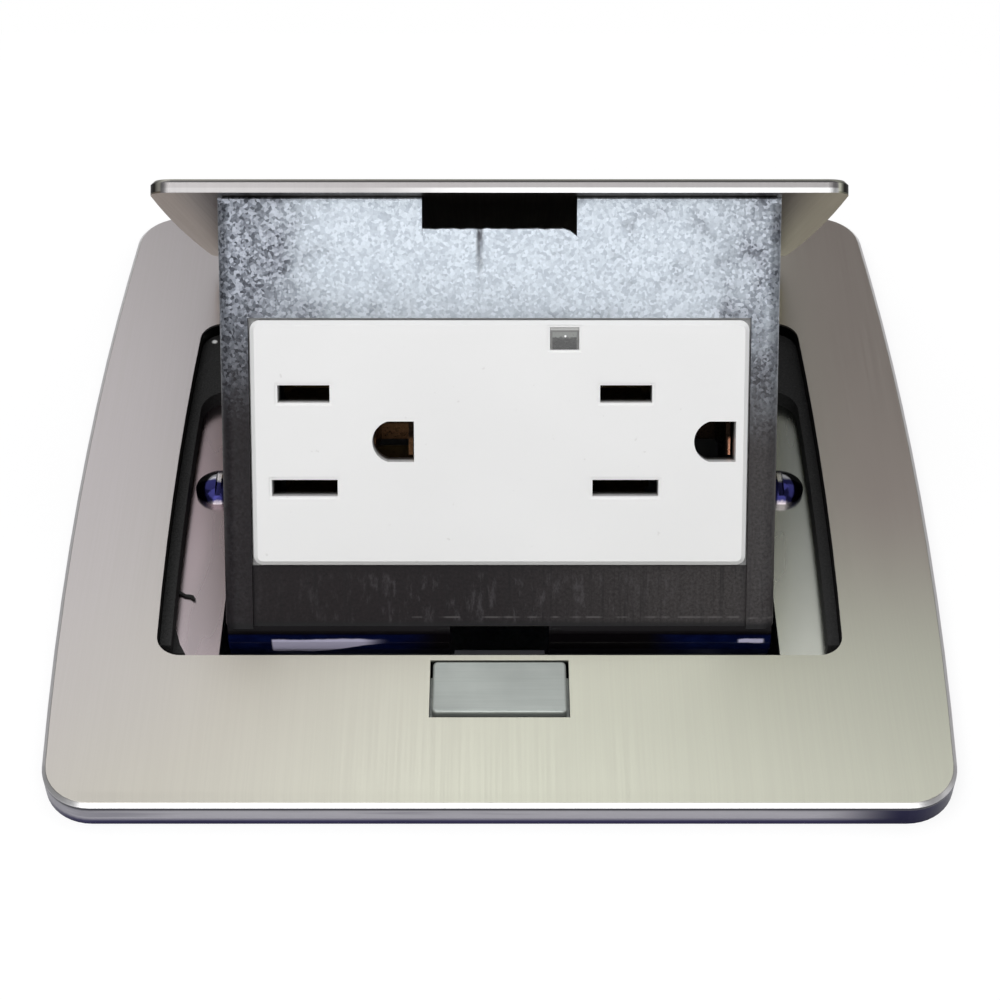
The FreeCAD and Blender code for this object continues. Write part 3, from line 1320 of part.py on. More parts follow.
for item in doc.Objects:
    if "Invalid" in item.State or "Error" in item.State:
        raise RuntimeError("%s did not compute: %s" % (item.Name, item.State))
for node in nodes:
    if node.Shape.isNull() or not node.Shape.isValid():
        raise RuntimeError("%s has no valid shape" % node.Label)

os.makedirs("parts", exist_ok=True)
for node in nodes:
    node.Shape.exportStep("parts/%s.step" % node.Label)
    print("%-26s %2d solids %10.1f mm3" % (node.Label, len(node.Shape.Solids), node.Shape.Volume))
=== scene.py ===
"""Looks of the pop-up floor socket box, lid raised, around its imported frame.

Places in the looks and pieces are millimetres in one of three spaces. The row's is the frame's
own. The panel's lies on the leaning socket panel: X across, Y up with 0 at its top edge, Z out of
its face. The lid's starts at the hinge pin and lies level once the lid is shut.
"""
import bpy
import bmesh
import math
from mathutils import Matrix, Vector, noise


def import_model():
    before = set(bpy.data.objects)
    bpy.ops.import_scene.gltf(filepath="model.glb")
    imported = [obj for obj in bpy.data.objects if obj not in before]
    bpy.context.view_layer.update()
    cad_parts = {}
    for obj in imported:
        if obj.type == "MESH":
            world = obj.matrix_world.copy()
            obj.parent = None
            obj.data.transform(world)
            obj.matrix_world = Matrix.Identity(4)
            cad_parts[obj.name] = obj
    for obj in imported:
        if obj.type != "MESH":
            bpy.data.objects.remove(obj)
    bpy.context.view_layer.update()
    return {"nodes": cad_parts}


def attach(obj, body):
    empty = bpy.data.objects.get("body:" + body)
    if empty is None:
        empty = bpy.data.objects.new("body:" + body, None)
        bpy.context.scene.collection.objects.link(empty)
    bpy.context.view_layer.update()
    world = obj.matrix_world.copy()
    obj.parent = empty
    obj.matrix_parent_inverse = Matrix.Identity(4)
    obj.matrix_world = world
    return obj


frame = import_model()
nodes = frame["nodes"]
MM = 0.001

# the three spaces: origin in millimetres and turn about X in degrees
SPACES = {"row": ((0.0, 0.0, 0.0), 0.0), "panel": ((0.0, 4.31, 116.2), 52.9),
          "lid": ((0.0, 41.8, 51.2), -47.9)}

# cover plate, in the row's space
FLOOR = 64.0
PLATE_TOP = 68.8
BEVEL_SHADED_FROM = 67.98    # the bevel above this height is shaded level, like the top
COLLAR_HALF = 49.0           # the plate's walls inside this square belong to its openings
# the navy on the lip is a painted reflection
LIP_NAVY_REFLECTION_FROM = (-34, -50)   # towards the front, the lip's lower part may turn navy
SCRATCHED = (46.5, -13.5)

# lid, in its own space
LID_UNDERSIDE = 16.0
LID_FRONT = -76.3

# panel, in its own space; a pair says where something starts and where it is full
RUN_MARK_X = -2.6
STRIP_SMUDGED_FROM = (-50.5, -52.0)
CREASE_Y = -57.2
# painted shadow along the strip's bottom edge
STRIP_BOTTOM_SHADOW = (-57.5, -58.3)
FACE_RECESSED_FROM = -0.2
WINDOW_X = 8.7
WINDOW_GLINT = (8.8, -18.5)
# below here the copper in the holes gets painted light
HOLES_PAINTED_LIGHT_BELOW = (-32.5, -33.2)

# folds and rolls of the panel's sheet, in the panel's space
PANEL_TOP = -0.85
NOTCH_HALF = 10.3
NOTCH_STEPS = 24
TORN_CORNER_X = 9.0
FOLD_END = 36.8
ROLL_START, ROLL_END = 6.8, 37.3
SHEET = 0.8


# ---- node graphs -----------------------------------------------------------------------------

class Look:
    """A node material with one Principled shader, and short names for the nodes it needs."""

    def __init__(self, name, metallic=0.0, roughness=0.5, **sockets):
        self.material = bpy.data.materials.new(name)
        self.material.use_nodes = True
        self.tree = self.material.node_tree
        self.tree.nodes.clear()
        self.shader = self.tree.nodes.new("ShaderNodeBsdfPrincipled")
        out = self.tree.nodes.new("ShaderNodeOutputMaterial")
        self.tree.links.new(self.shader.outputs[0], out.inputs["Surface"])
        self.shader.inputs["Metallic"].default_value = metallic
        self.shader.inputs["Roughness"].default_value = roughness
        for socket, value in sockets.items():
            self.shader.inputs[socket.replace("_", " ")].default_value = value
        self.spaces = {}

    def put(self, socket, value):
        if isinstance(value, bpy.types.NodeSocket):
            self.tree.links.new(value, socket)
        else:
            socket.default_value = value

    def space(self, kind):
        """Coordinates in millimetres in one of the SPACES."""
        if kind not in self.spaces:
            origin, turn = SPACES[kind]
            source = self.tree.nodes.new("ShaderNodeTexCoord")
            mapping = self.tree.nodes.new("ShaderNodeMapping")
            mapping.vector_type = "TEXTURE"
            mapping.inputs["Location"].default_value = [value * MM for value in origin]
            mapping.inputs["Rotation"].default_value = (math.radians(turn), 0, 0)
            mapping.inputs["Scale"].default_value = (MM, MM, MM)
            self.tree.links.new(source.outputs["Object"], mapping.inputs["Vector"])
            self.spaces[kind] = mapping.outputs["Vector"]
        return self.spaces[kind]

    def stretched(self, kind, scale):
        mapping = self.tree.nodes.new("ShaderNodeMapping")
        mapping.inputs["Scale"].default_value = scale
        self.tree.links.new(self.space(kind), mapping.inputs["Vector"])
        return mapping.outputs["Vector"]

    def noise(self, kind, scale, detail=3.0, roughness=0.5):
        """Noise whose scale says how many of its waves go into a millimetre of each axis."""
        node = self.tree.nodes.new("ShaderNodeTexNoise")
        self.tree.links.new(self.stretched(kind, scale), node.inputs["Vector"])
        node.inputs["Scale"].default_value = 1.0
        node.inputs["Detail"].default_value = detail
        node.inputs["Roughness"].default_value = roughness
        return node.outputs["Fac"]

    def cells(self, kind, scale, output):
        node = self.tree.nodes.new("ShaderNodeTexVoronoi")
        self.tree.links.new(self.stretched(kind, scale), node.inputs["Vector"])
        node.inputs["Scale"].default_value = 1.0
        return node.outputs[output]

    def axes(self, letters, kind="row"):
        node = self.tree.nodes.new("ShaderNodeSeparateXYZ")
        self.tree.links.new(self.space(kind), node.inputs[0])
        return [node.outputs[letter] for letter in letters]

    def maths(self, operation, *values):
        node = self.tree.nodes.new("ShaderNodeMath")
        node.operation = operation
        for socket, value in zip(node.inputs, values):
            self.put(socket, value)
        return node.outputs[0]

    def both(self, first, second):
        return self.maths("MULTIPLY", first, second)

    def either(self, first, second):
        return self.maths("MAXIMUM", first, second)

    def away(self, value, place):
        """Distance of value from a place on its axis."""
        return self.maths("ABSOLUTE", self.maths("SUBTRACT", value, place))

    def rise(self, value, start, end, low=0.0, high=1.0):
        """Goes smoothly from low to high as value goes from start to end."""
        node = self.tree.nodes.new("ShaderNodeMapRange")
        node.interpolation_type = "SMOOTHSTEP"
        self.put(node.inputs["Value"], value)
        for name, number in (("From Min", start), ("From Max", end),
                             ("To Min", low), ("To Max", high)):
            node.inputs[name].default_value = number
        return node.outputs["Result"]

    def linear(self, value, start, end):
        """Goes evenly from 0 to 1 as value goes from start to end."""
        node = self.tree.nodes.new("ShaderNodeMapRange")
        self.put(node.inputs["Value"], value)
        node.inputs["From Min"].default_value = start
        node.inputs["From Max"].default_value = end
        return node.outputs["Result"]

    def spot(self, centre, radius):
        """1 at a place on the row's X and Y, falling to 0 at the radius."""
        squares = [self.maths("POWER", self.maths("SUBTRACT", value, place), 2.0)
                   for value, place in zip(self.axes("XY"), centre)]
        return self.rise(self.maths("SQRT", self.maths("ADD", *squares)), 0.4 * radius, radius,
                         1.0, 0.0)

    def flatten(self, factor):
        """Shades the surface as if it lay level where factor is 1."""
        geometry = self.tree.nodes.new("ShaderNodeNewGeometry")
        node = self.tree.nodes.new("ShaderNodeMix")
        node.data_type = "VECTOR"
        self.put(node.inputs["Factor"], factor)
        self.tree.links.new(geometry.outputs["Normal"], node.inputs[4])
        node.inputs[5].default_value = (0, 0, 1)
        self.tree.links.new(node.outputs[1], self.shader.inputs["Normal"])

    def ramp(self, value, *stops):
        node = self.tree.nodes.new("ShaderNodeValToRGB")
        self.put(node.inputs["Fac"], value)
        elements = node.color_ramp.elements
        while len(elements) < len(stops):
            elements.new(0.5)
        for element, (position, colour) in zip(elements, stops):
            element.position = position
            element.color = (*colour, 1)
        return node.outputs["Color"]

    def blend(self, factor, first, second):
        node = self.tree.nodes.new("ShaderNodeMix")
        node.data_type = "RGBA"
        self.put(node.inputs["Factor"], factor)
        for socket, value in ((node.inputs[6], first), (node.inputs[7], second)):
            self.put(socket, value if isinstance(value, bpy.types.NodeSocket) else (*value, 1))
        return node.outputs[2]

    def bump(self, height, strength, depth):
        """Bump of a depth in millimetres, on top of any flattening."""
        node = self.tree.nodes.new("ShaderNodeBump")
        node.inputs["Strength"].default_value = strength
        node.inputs["Distance"].default_value = depth * MM
        self.put(node.inputs["Height"], height)
        if self.shader.inputs["Normal"].is_linked:
            self.tree.links.new(self.shader.inputs["Normal"].links[0].from_socket,
                                node.inputs["Normal"])
        self.tree.links.new(node.outputs[0], self.shader.inputs["Normal"])

    def finished(self, colour, texture, roughness, strength, depth, height=None):
        """The material. One texture sets its roughness and, unless a height is given, its bump."""
        self.put(self.shader.inputs["Base Color"], colour)
        self.put(self.shader.inputs["Roughness"], self.rise(texture, 0.3, 0.7, *roughness))
        self.bump(texture if height is None else height, strength, depth)
        return self.material


# ---- brushed nickel of the plate and the lid --------------------------------------------------

# the plate's side from the floor to its top, painted light and shade: navy reflection, grey skirt,
# a painted dark line, a painted highlight along the lip, shade
LIP_PAINTED_BANDS = [(0.0, (0.015, 0.012, 0.06)), (0.14, (0.05, 0.045, 0.11)),
             (0.28, (0.44, 0.43, 0.47)), (0.58, (0.42, 0.41, 0.44)),
             (0.65, (0.04, 0.04, 0.05)), (0.70, (0.06, 0.06, 0.07)),
             (0.73, (0.80, 0.79, 0.80)), (0.80, (0.74, 0.73, 0.72)),
             (0.83, (0.26, 0.24, 0.21))]


def nickel_painted_reflections(look, kind):
    """Painted reflections on the nickel: pinkish at the left rear, through a warm grey, to
    greenish at the right front.
    """
    cloud = look.noise(kind, (0.012, 0.014, 0.012), 2)
    x, y = look.axes("XY", kind)
    side = look.maths("MULTIPLY_ADD", y, -0.6, x)
    side = look.maths("MULTIPLY_ADD", cloud, 40.0, side)
    return look.ramp(look.rise(side, -45, 65), (0.0, (0.585, 0.548, 0.552)),
                     (0.45, (0.60, 0.575, 0.51)), (1.0, (0.60, 0.605, 0.505)))


def nickel_grain(look, kind, base):
    """The brushed grain, and base with the grain drawn on it."""
    grain = look.noise(kind, (4.0, 0.03, 0.03), 2)
    faint = look.rise(grain, 0.35, 0.65, 0.0, 0.10)
    return grain, look.blend(faint, base, (0.50, 0.475, 0.43))


def plate_nickel():
    look = Look("satin_nickel", metallic=1.0, roughness=0.3)
    x, y, z = look.axes("XYZ")
    # painted reflection: a darker pinkish brown over the plate's right side, from the middle
    # backwards
    painted_dark_reflection = look.both(look.rise(x, 30, 56), look.rise(y, -40, -4))
    base = look.blend(look.both(painted_dark_reflection, 0.85), nickel_painted_reflections(look, "row"), (0.44, 0.375, 0.345))
    grain, base = nickel_grain(look, "row", base)

    # the side's bands, whose lower part turns to a painted navy reflection in places along the
    # front and at its corners
    band = look.ramp(look.linear(z, FLOOR, PLATE_TOP), *LIP_PAINTED_BANDS)
    wave = look.noise("row", (0.03, 0.03, 0.5), 2)
    navy = look.either(look.rise(look.away(x, -6.0), 46, 58),
                       look.rise(wave, 0.52, 0.66, 0.0, 0.35))
    navy = look.both(navy, look.rise(y, *LIP_NAVY_REFLECTION_FROM))
    navy = look.both(navy, look.rise(z, 66.9, 67.1, 1.0, 0.0))
    band = look.blend(navy, band, (0.012, 0.011, 0.045))
    outside = look.either(*(look.rise(look.away(value, 0.0), COLLAR_HALF, COLLAR_HALF + 0.5)
                            for value in (x, y)))
    lip = (BEVEL_SHADED_FROM - 0.06, BEVEL_SHADED_FROM)
    base = look.blend(look.both(look.rise(z, *lip, 1.0, 0.0), outside), base, band)
    look.flatten(look.both(outside, look.rise(z, *lip)))

    # painted shade on the walls of the opening and of the button's window, which stay bright only
    # along their top edge
    painted_shade_wall = look.both(look.rise(z, 68.35, 68.55, 1.0, 0.0), look.maths("SUBTRACT", 1.0, outside))
    base = look.blend(painted_shade_wall, base, (0.035, 0.035, 0.032))

    scratch = look.rise(look.cells("row", (0.5, 2.2, 1.0), "Distance"), 0.05, 0.09, 1.0, 0.0)
    scratch = look.both(scratch, look.spot(SCRATCHED, 5.0))
    base = look.blend(look.both(scratch, 0.35), base, (0.62, 0.60, 0.58))
    return look.finished(base, grain, (0.29, 0.33), 0.02, 0.02)


def lid_nickel():
    look = Look("satin_nickel_lid", metallic=1.0, roughness=0.3)
    x, y, z = look.axes("XYZ", "lid")
    grain, base = nickel_grain(look, "lid", nickel_painted_reflections(look, "lid"))

    # the underside: painted reflection of the plate near its sides, browner on the left and olive
    # on the right, and painted shade over the rest
    under = look.ramp(look.rise(x, -20, 20), (0.0, (0.33, 0.28, 0.22)), (1.0, (0.36, 0.36, 0.27)))
    under = look.blend(look.rise(look.away(x, 0.0), 44.5, 38.0), under, (0.12, 0.10, 0.085))
    base = look.blend(look.rise(z, LID_UNDERSIDE - 0.05, LID_UNDERSIDE + 0.05, 1.0, 0.0),
                      base, under)

    # the front edge: painted grey shade with a painted white highlight line, which starts left of
    # the middle
    line = look.both(look.rise(z, LID_UNDERSIDE + 0.5, LID_UNDERSIDE + 0.3),
                     look.rise(x, -20, 5, 0.1, 1.0))
    rim = look.blend(line, (0.235, 0.225, 0.225), (0.62, 0.62, 0.62))
    base = look.blend(look.rise(y, LID_FRONT + 0.1, LID_FRONT - 0.1), base, rim)

    # painted shade on the lid's sides behind its front edge
    sides = look.both(look.rise(z, LID_UNDERSIDE + 1.4, LID_UNDERSIDE + 1.2),
                      look.rise(z, LID_UNDERSIDE - 0.1, LID_UNDERSIDE))
    sides = look.both(sides, look.rise(y, LID_FRONT + 0.1, LID_FRONT + 0.7))
    base = look.blend(sides, base, (0.05, 0.045, 0.04))
    return look.finished(base, grain, (0.29, 0.33), 0.02, 0.02)


# ---- zinc and other metals --------------------------------------------------------------------

def spangled_panel():
    """Zinc with frosty crystals above; the lower part is painted brown-black shade, duller than
    the zinc.
    """
    look = Look("spangled_zinc", metallic=0.75, roughness=0.42, Specular_IOR_Level=0.3)
    x, y = look.axes("XY", "panel")
    across = look.away(x, 0.0)
    shade = look.tree.nodes.new("ShaderNodeSeparateColor")
    look.put(shade.inputs[0], look.cells("panel", (2.5, 2.5, 1.5), "Color"))
    fine = look.noise("panel", (2.6, 2.6, 1.5), 4, 0.65)
    patch = look.noise("panel", (0.16, 0.16, 0.16), 3)
    tone = look.maths("MULTIPLY_ADD", shade.outputs[0], 0.55, look.both(fine, 0.45))
    dark = look.ramp(tone, (0.22, (0.06, 0.065, 0.08)), (0.5, (0.24, 0.26, 0.30)),
                     (0.8, (0.50, 0.53, 0.60)))
    calm = look.ramp(tone, (0.25, (0.46, 0.51, 0.57)), (0.6, (0.62, 0.68, 0.74)),
                     (0.8, (0.72, 0.78, 0.85)))
    # painted shade: the spangle turns to its darker copy towards both sides, more on the left, in
    # patches and near the top edge; near the sides its crystals also show more contrast
    edge = look.maths("MULTIPLY_ADD", look.rise(x, -34, 34, 1.0, 0.55),
                      look.rise(across, 19, 35), look.rise(patch, 0.45, 0.75, -0.1, 0.45))
    edge = look.maths("ADD", edge, look.rise(y, -1.0, 0.6, 0.0, 0.35))
    base = look.blend(look.rise(edge, 0.0, 1.0), calm, dark)

    # the painted shade over the lower part starts higher on the left and is a little thinner along
    # both sides; it is near black on the left, brown-grey on the right, with darker streaks
    depth = look.maths("MULTIPLY_ADD", look.noise("panel", (0.25, 0.12, 0.2), 3), 6.0, y)
    lower_painted_shade = look.rise(look.maths("MULTIPLY_ADD", x, 0.05, depth), -6, -30)
    streak = look.noise("panel", (1.6, 0.05, 0.3), 3, 0.6)
    lower_painted_shade = look.both(lower_painted_shade, look.rise(across, 40, 30, 0.97, 1.0))
    deep_left = look.ramp(fine, (0.35, (0.005, 0.003, 0.004)), (0.7, (0.016, 0.011, 0.013)))
    deep_right = look.ramp(fine, (0.35, (0.026, 0.022, 0.022)), (0.7, (0.060, 0.054, 0.054)))
    deep = look.blend(look.rise(x, -8, 34), deep_left, deep_right)
    deep = look.blend(look.rise(streak, 0.5, 0.75, 0.0, 0.6), deep, (0.006, 0.005, 0.006))
    base = look.blend(lower_painted_shade, base, deep)

    # smudges and a lighter line along a crease low on the strip, and painted shadow along its
    # bottom edge, where the sheet rolls back
    smudge = look.both(look.rise(look.noise("panel", (0.9, 0.3, 0.5), 4, 0.7), 0.50, 0.75),
                       look.rise(y, *STRIP_SMUDGED_FROM))
    base = look.blend(look.both(smudge, look.rise(across, 30, 18, 0.1, 0.5)),
                      base, (0.085, 0.078, 0.085))
    crease = look.both(look.rise(look.away(y, CREASE_Y), 0.05, 0.2, 1.0, 0.0),
                       look.rise(look.noise("panel", (0.5, 0.1, 0.1), 4), 0.40, 0.60))
    base = look.blend(look.both(crease, look.rise(x, -16, -10, 0.0, 0.4)),
                      base, (0.16, 0.15, 0.15))
    # painted shadow where the sheet rolls back
    base = look.blend(look.rise(y, *STRIP_BOTTOM_SHADOW, 0.0, 0.9), base, (0.008, 0.008, 0.009))

    # a run mark under the notch
    mark = look.both(look.rise(look.away(x, RUN_MARK_X), 0.15, 0.7, 1.0, 0.0),
                     look.rise(y, -13, -4.0))
    mark = look.both(mark, look.rise(look.noise("panel", (0.9, 0.35, 0.5), 2), 0.3, 0.6))
    base = look.blend(mark, base, (0.06, 0.06, 0.07))
    look.put(look.shader.inputs["Metallic"], look.rise(lower_painted_shade, 0.0, 1.0, 0.75, 0.1))
    return look.finished(base, fine, (0.38, 0.55), 0.15, 0.05,
                         height=look.maths("MULTIPLY_ADD", shade.outputs[1], 0.6, fine))


def plain_metal(name, low, high, roughness, metallic=1.0):
    look = Look(name, metallic=metallic, roughness=roughness)
    grain = look.noise("row", (1.2, 1.2, 0.2), 4, 0.6)
    blotch = look.noise("row", (0.12, 0.12, 0.12), 3)
    base = look.ramp(blotch, (0.3, low), (0.7, high))
    base = look.blend(look.rise(grain, 0.4, 0.7, 0.0, 0.3), base,
                      tuple(value * 0.6 for value in low))
    return look.finished(base, grain, (roughness - 0.06, roughness + 0.08), 0.12, 0.02)


def ledge_zinc():
    """Smooth bright zinc with painted reflections: pinker on the left, greener on the right, and
    brighter towards the front, most at the front right.
    """
    look = Look("bright_zinc", metallic=1.0, roughness=0.24)
    x, y = look.axes("XY")
    fine = look.noise("row", (0.25, 0.03, 0.03), 1)
    # painted light, brighter towards the front
    along = look.rise(y, 8, -30)
    pink = look.ramp(along, (0.0, (0.36, 0.29, 0.305)), (1.0, (0.50, 0.43, 0.45)))
    green = look.ramp(along, (0.0, (0.42, 0.44, 0.40)), (1.0, (0.80, 0.82, 0.74)))
    base = look.blend(look.rise(x, -10, 10), pink, green)
    base = look.blend(look.rise(fine, 0.4, 0.7, 0.0, 0.2), base, (0.26, 0.25, 0.25))
    return look.finished(base, fine, (0.22, 0.28), 0.01, 0.01,
                         height=look.noise("row", (1.5, 1.5, 1.5), 2))


def button_satin():
    look = Look("button_satin", metallic=0.55, roughness=0.36)
    grain = look.noise("row", (0.08, 3.2, 1.0), 3)
    cloud = look.noise("row", (0.16, 0.12, 0.1), 2)
    base = look.ramp(cloud, (0.3, (0.36, 0.385, 0.365)), (0.7, (0.42, 0.45, 0.425)))
    base = look.blend(look.rise(grain, 0.4, 0.7, 0.0, 0.2), base, (0.30, 0.325, 0.31))
    return look.finished(base, grain, (0.30, 0.42), 0.08, 0.02)


def copper_contacts():
    """Copper with painted light low in the right hole, painted dull brown shade low in the left
    one, and painted near-black shade elsewhere.
    """
    look = Look("copper", metallic=1.0, roughness=0.3)
    x, y = look.axes("XY", "panel")
    fine = look.noise("row", (2.0, 2.0, 2.0), 3)
    black = look.ramp(fine, (0.3, (0.006, 0.004, 0.003)), (0.7, (0.016, 0.010, 0.007)))
    bright = look.ramp(fine, (0.3, (0.66, 0.29, 0.17)), (0.7, (0.84, 0.44, 0.29)))
    dull = look.ramp(fine, (0.3, (0.045, 0.022, 0.010)), (0.7, (0.10, 0.052, 0.026)))
    low = look.rise(y, *HOLES_PAINTED_LIGHT_BELOW)
    base = look.blend(look.both(low, look.rise(x, 31.1, 31.4)), black, bright)
    base = look.blend(look.both(low, look.rise(x, 2.0, -2.0)), base, dull)
    return look.finished(base, fine, (0.24, 0.38), 0.1, 0.02)


def screw_chrome():
    """Chrome heads with painted reflections: pale behind, a dark line, a painted white highlight,
    deep blue across the middle, tinted by the ledge in front.
    """
    look = Look("chromed", metallic=1.0, roughness=0.12)
    fine = look.noise("row", (2.0, 2.0, 2.0), 3)
    along = look.maths("MULTIPLY_ADD", fine, 0.5, *look.axes("Y"))
    base = look.ramp(look.linear(along, -4.0, 4.0),
                     (0.0, (0.40, 0.35, 0.37)), (0.10, (0.34, 0.30, 0.32)),
                     (0.16, (0.02, 0.02, 0.08)), (0.55, (0.03, 0.03, 0.13)),
                     (0.62, (0.85, 0.85, 0.88)), (0.75, (0.80, 0.80, 0.84)),
                     (0.82, (0.03, 0.03, 0.05)), (1.0, (0.30, 0.28, 0.30)))
    return look.finished(base, fine, (0.10, 0.18), 0.05, 0.02)


def dark_gloss():
    """Navy gloss of the sheet's lower roll, the navy a painted reflection, with a long painted
    sheen on the left, a short one right, and painted shade across the middle and along the top.
    """
    look = Look("navy_gloss", metallic=0.6, roughness=0.16, Coat_Weight=0.4, Coat_Roughness=0.08)
    x, z = look.axes("XZ")
    fine = look.noise("row", (0.5, 1.2, 1.2), 3)
    base = look.ramp(fine, (0.3, (0.004, 0.008, 0.060)), (0.7, (0.008, 0.018, 0.115)))
    height = look.maths("MULTIPLY_ADD", look.noise("row", (0.25, 0.4, 0.4), 2), 0.6, z)
    taper = look.maths("SUBTRACT", height, look.rise(x, -26, -15, 0.0, 1.9))
    band = look.both(look.rise(taper, 64.7, 64.9), look.rise(height, 67.6, 67.3))
    left = look.both(look.rise(x, -31.5, -31.2), look.rise(x, -15.0, -19.5))
    right = look.both(look.rise(x, 32.6, 33.1), look.rise(x, 36.6, 36.1))
    painted_sheen = look.both(band, look.either(left, right))
    base = look.blend(painted_sheen, base, (0.72, 0.69, 0.90))
    # painted shade across the middle and along the top
    painted_shade = look.both(look.rise(x, -15, -8), look.rise(x, 26, 20))
    painted_shade = look.either(painted_shade, look.rise(z, 67.7, 68.1))
    base = look.blend(painted_shade, base, (0.009, 0.007, 0.009))
    look.put(look.shader.inputs["Metallic"], look.rise(painted_sheen, 0.0, 1.0, 0.6, 0.0))
    return look.finished(base, fine, (0.12, 0.22), 0.05, 0.05)


# ---- mouldings, foam and the window -----------------------------------------------------------

def moulded(name, low, high, roughness):
    look = Look(name, roughness=roughness)
    fine = look.noise("row", (2.2, 2.2, 2.2), 3)
    blotch = look.noise("row", (0.05, 0.05, 0.05), 3)
    base = look.ramp(blotch, (0.3, low), (0.7, high))
    return look.finished(base, fine, (roughness - 0.05, roughness + 0.07), 0.08, 0.02)


def foam():
    """Black open foam, with one white glint on its left side."""
    look = Look("black_foam", roughness=0.85, Specular_IOR_Level=0.25)
    pores = look.cells("row", (2.6, 2.6, 2.6), "Distance")
    fine = look.noise("row", (5, 5, 5), 4, 0.7)
    base = look.ramp(fine, (0.3, (0.012, 0.012, 0.012)), (0.7, (0.040, 0.040, 0.040)))
    base = look.blend(look.spot((-45.0, 29.8), 0.55), base, (0.95, 0.95, 0.95))
    return look.finished(base, fine, (0.7, 0.95), 0.6, 0.15, height=pores)


def socket_face():
    """White moulding with faint specks, and painted shade inside its slots."""
    look = Look("white_moulding", roughness=0.34, Coat_Weight=0.15, Coat_Roughness=0.15)
    cloud = look.noise("panel", (0.03, 0.04, 0.03), 2)
    fine = look.noise("panel", (3.0, 3.0, 3.0), 3)
    base = look.ramp(cloud, (0.3, (0.875, 0.875, 0.87)), (0.7, (0.91, 0.91, 0.905)))
    speck = look.rise(look.noise("panel", (0.9, 0.9, 0.9), 2), 0.72, 0.80)
    base = look.blend(look.both(speck, 0.25), base, (0.5, 0.48, 0.46))
    # painted shade deeper than the face
    deep = look.rise(*look.axes("Z", "panel"), FACE_RECESSED_FROM, FACE_RECESSED_FROM - 2.2)
    base = look.blend(deep, base, (0.06, 0.058, 0.055))
    return look.finished(base, fine, (0.30, 0.40), 0.05, 0.02)


def lens():
    """Smoked window: a grey frame, a painted lit band across the top with one painted glint, black
    below, and a painted grey shadow along its top edge.
    """
    look = Look("smoked_window", roughness=0.12, Coat_Weight=0.6, Coat_Roughness=0.05)
    x, y = look.axes("XY", "panel")
    veil = look.noise("panel", (2.2, 3.0, 0.7), 3)
    # painted light: a lit band across the top of the window
    lit = look.maths("MULTIPLY_ADD", veil, 0.8, look.rise(y, -19.0, -18.4, 0.0, 0.5))
    base = look.ramp(lit, (0.35, (0.004, 0.004, 0.004)), (0.62, (0.05, 0.052, 0.05)),
                     (0.85, (0.20, 0.21, 0.20)))
    rim = look.either(look.rise(look.away(x, WINDOW_X), 1.55, 1.7), look.rise(y, -18.0, -17.9))
    base = look.blend(rim, base, (0.13, 0.13, 0.125))
    # painted shadow along the window's top edge
    base = look.blend(look.rise(y, -17.75, -17.65), base, (0.42, 0.42, 0.41))
    squares = [look.maths("POWER", look.maths("SUBTRACT", value, place), 2.0)
               for value, place in zip((x, y), WINDOW_GLINT)]
    glint = look.rise(look.maths("ADD", *squares), 0.03, 0.015)
    base = look.blend(glint, base, (1.0, 1.0, 1.0))
    return look.finished(base, veil, (0.08, 0.22), 0.1, 0.05)


# ---- finishes of the CAD nodes ----------------------------------------------------------------

finishes = {
    "ground_contacts": copper_contacts(),
    "cover_plate": plate_nickel(),
    "lid": lid_nickel(),
    "carrier_bracket": spangled_panel(),
    "mounting_frame": ledge_zinc(),
    "floor_box": plain_metal("galvanised", (0.40, 0.42, 0.46), (0.55, 0.57, 0.60), 0.42),
    "fixing_screws": screw_chrome(),
    "opening_seal": foam(),
    "receptacle_face": socket_face(),
    "indicator_lens": lens(),
    "release_button": button_satin(),
    "receptacle_body": moulded("dark_moulding", (0.030, 0.031, 0.034), (0.05, 0.051, 0.055), 0.5),
}
shared = {
    plain_metal("bright_steel", (0.60, 0.61, 0.64), (0.72, 0.73, 0.76), 0.26):
        ["lid_nuts", "pivot_pins", "pin_clips", "frame_screws", "latch_housing_screws",
         "neutral_terminal_screws", "strap_rivets", "receptacle_screws"],
    plain_metal("spring_wire", (0.30, 0.31, 0.34), (0.42, 0.43, 0.46), 0.3):
        ["torsion_spring_left", "torsion_spring_right", "latch_spring", "button_springs"],
    plain_metal("strap_zinc", (0.52, 0.53, 0.56), (0.66, 0.67, 0.70), 0.34):
        ["receptacle_strap"],
    plain_metal("brass", (0.50, 0.30, 0.10), (0.66, 0.44, 0.18), 0.28):
        ["line_terminal_screws"],
    # brass of the contacts deep in the slots, darkened as painted shade
    plain_metal("brass_in_painted_shade", (0.035, 0.024, 0.012), (0.075, 0.05, 0.022), 0.45):
        ["line_contacts", "neutral_contacts"],
    plain_metal("green_lacquer", (0.02, 0.16, 0.06), (0.04, 0.24, 0.09), 0.35, metallic=0.3):
        ["ground_terminal_screw", "box_ground_screw"],
    moulded("pale_polymer", (0.62, 0.60, 0.54), (0.70, 0.68, 0.62), 0.5): ["pivot_washers"],
    moulded("black_polymer", (0.012, 0.012, 0.014), (0.028, 0.028, 0.032), 0.45):
        ["latch_bolt", "latch_housing"],
    moulded("black_rubber", (0.010, 0.010, 0.011), (0.022, 0.022, 0.024), 0.75):
        ["floor_gasket", "stop_bumpers"],
}
for material, names in shared.items():
    for name in names:
        finishes[name] = material
for name, material in finishes.items():
    for slot in nodes[name].material_slots:
        slot.material = material


# ---- extra pieces ----------------------------------------------------------------------------

def placed(name, data):
    item = bpy.data.objects.new(name, data)
    bpy.context.scene.collection.objects.link(item)
    return item


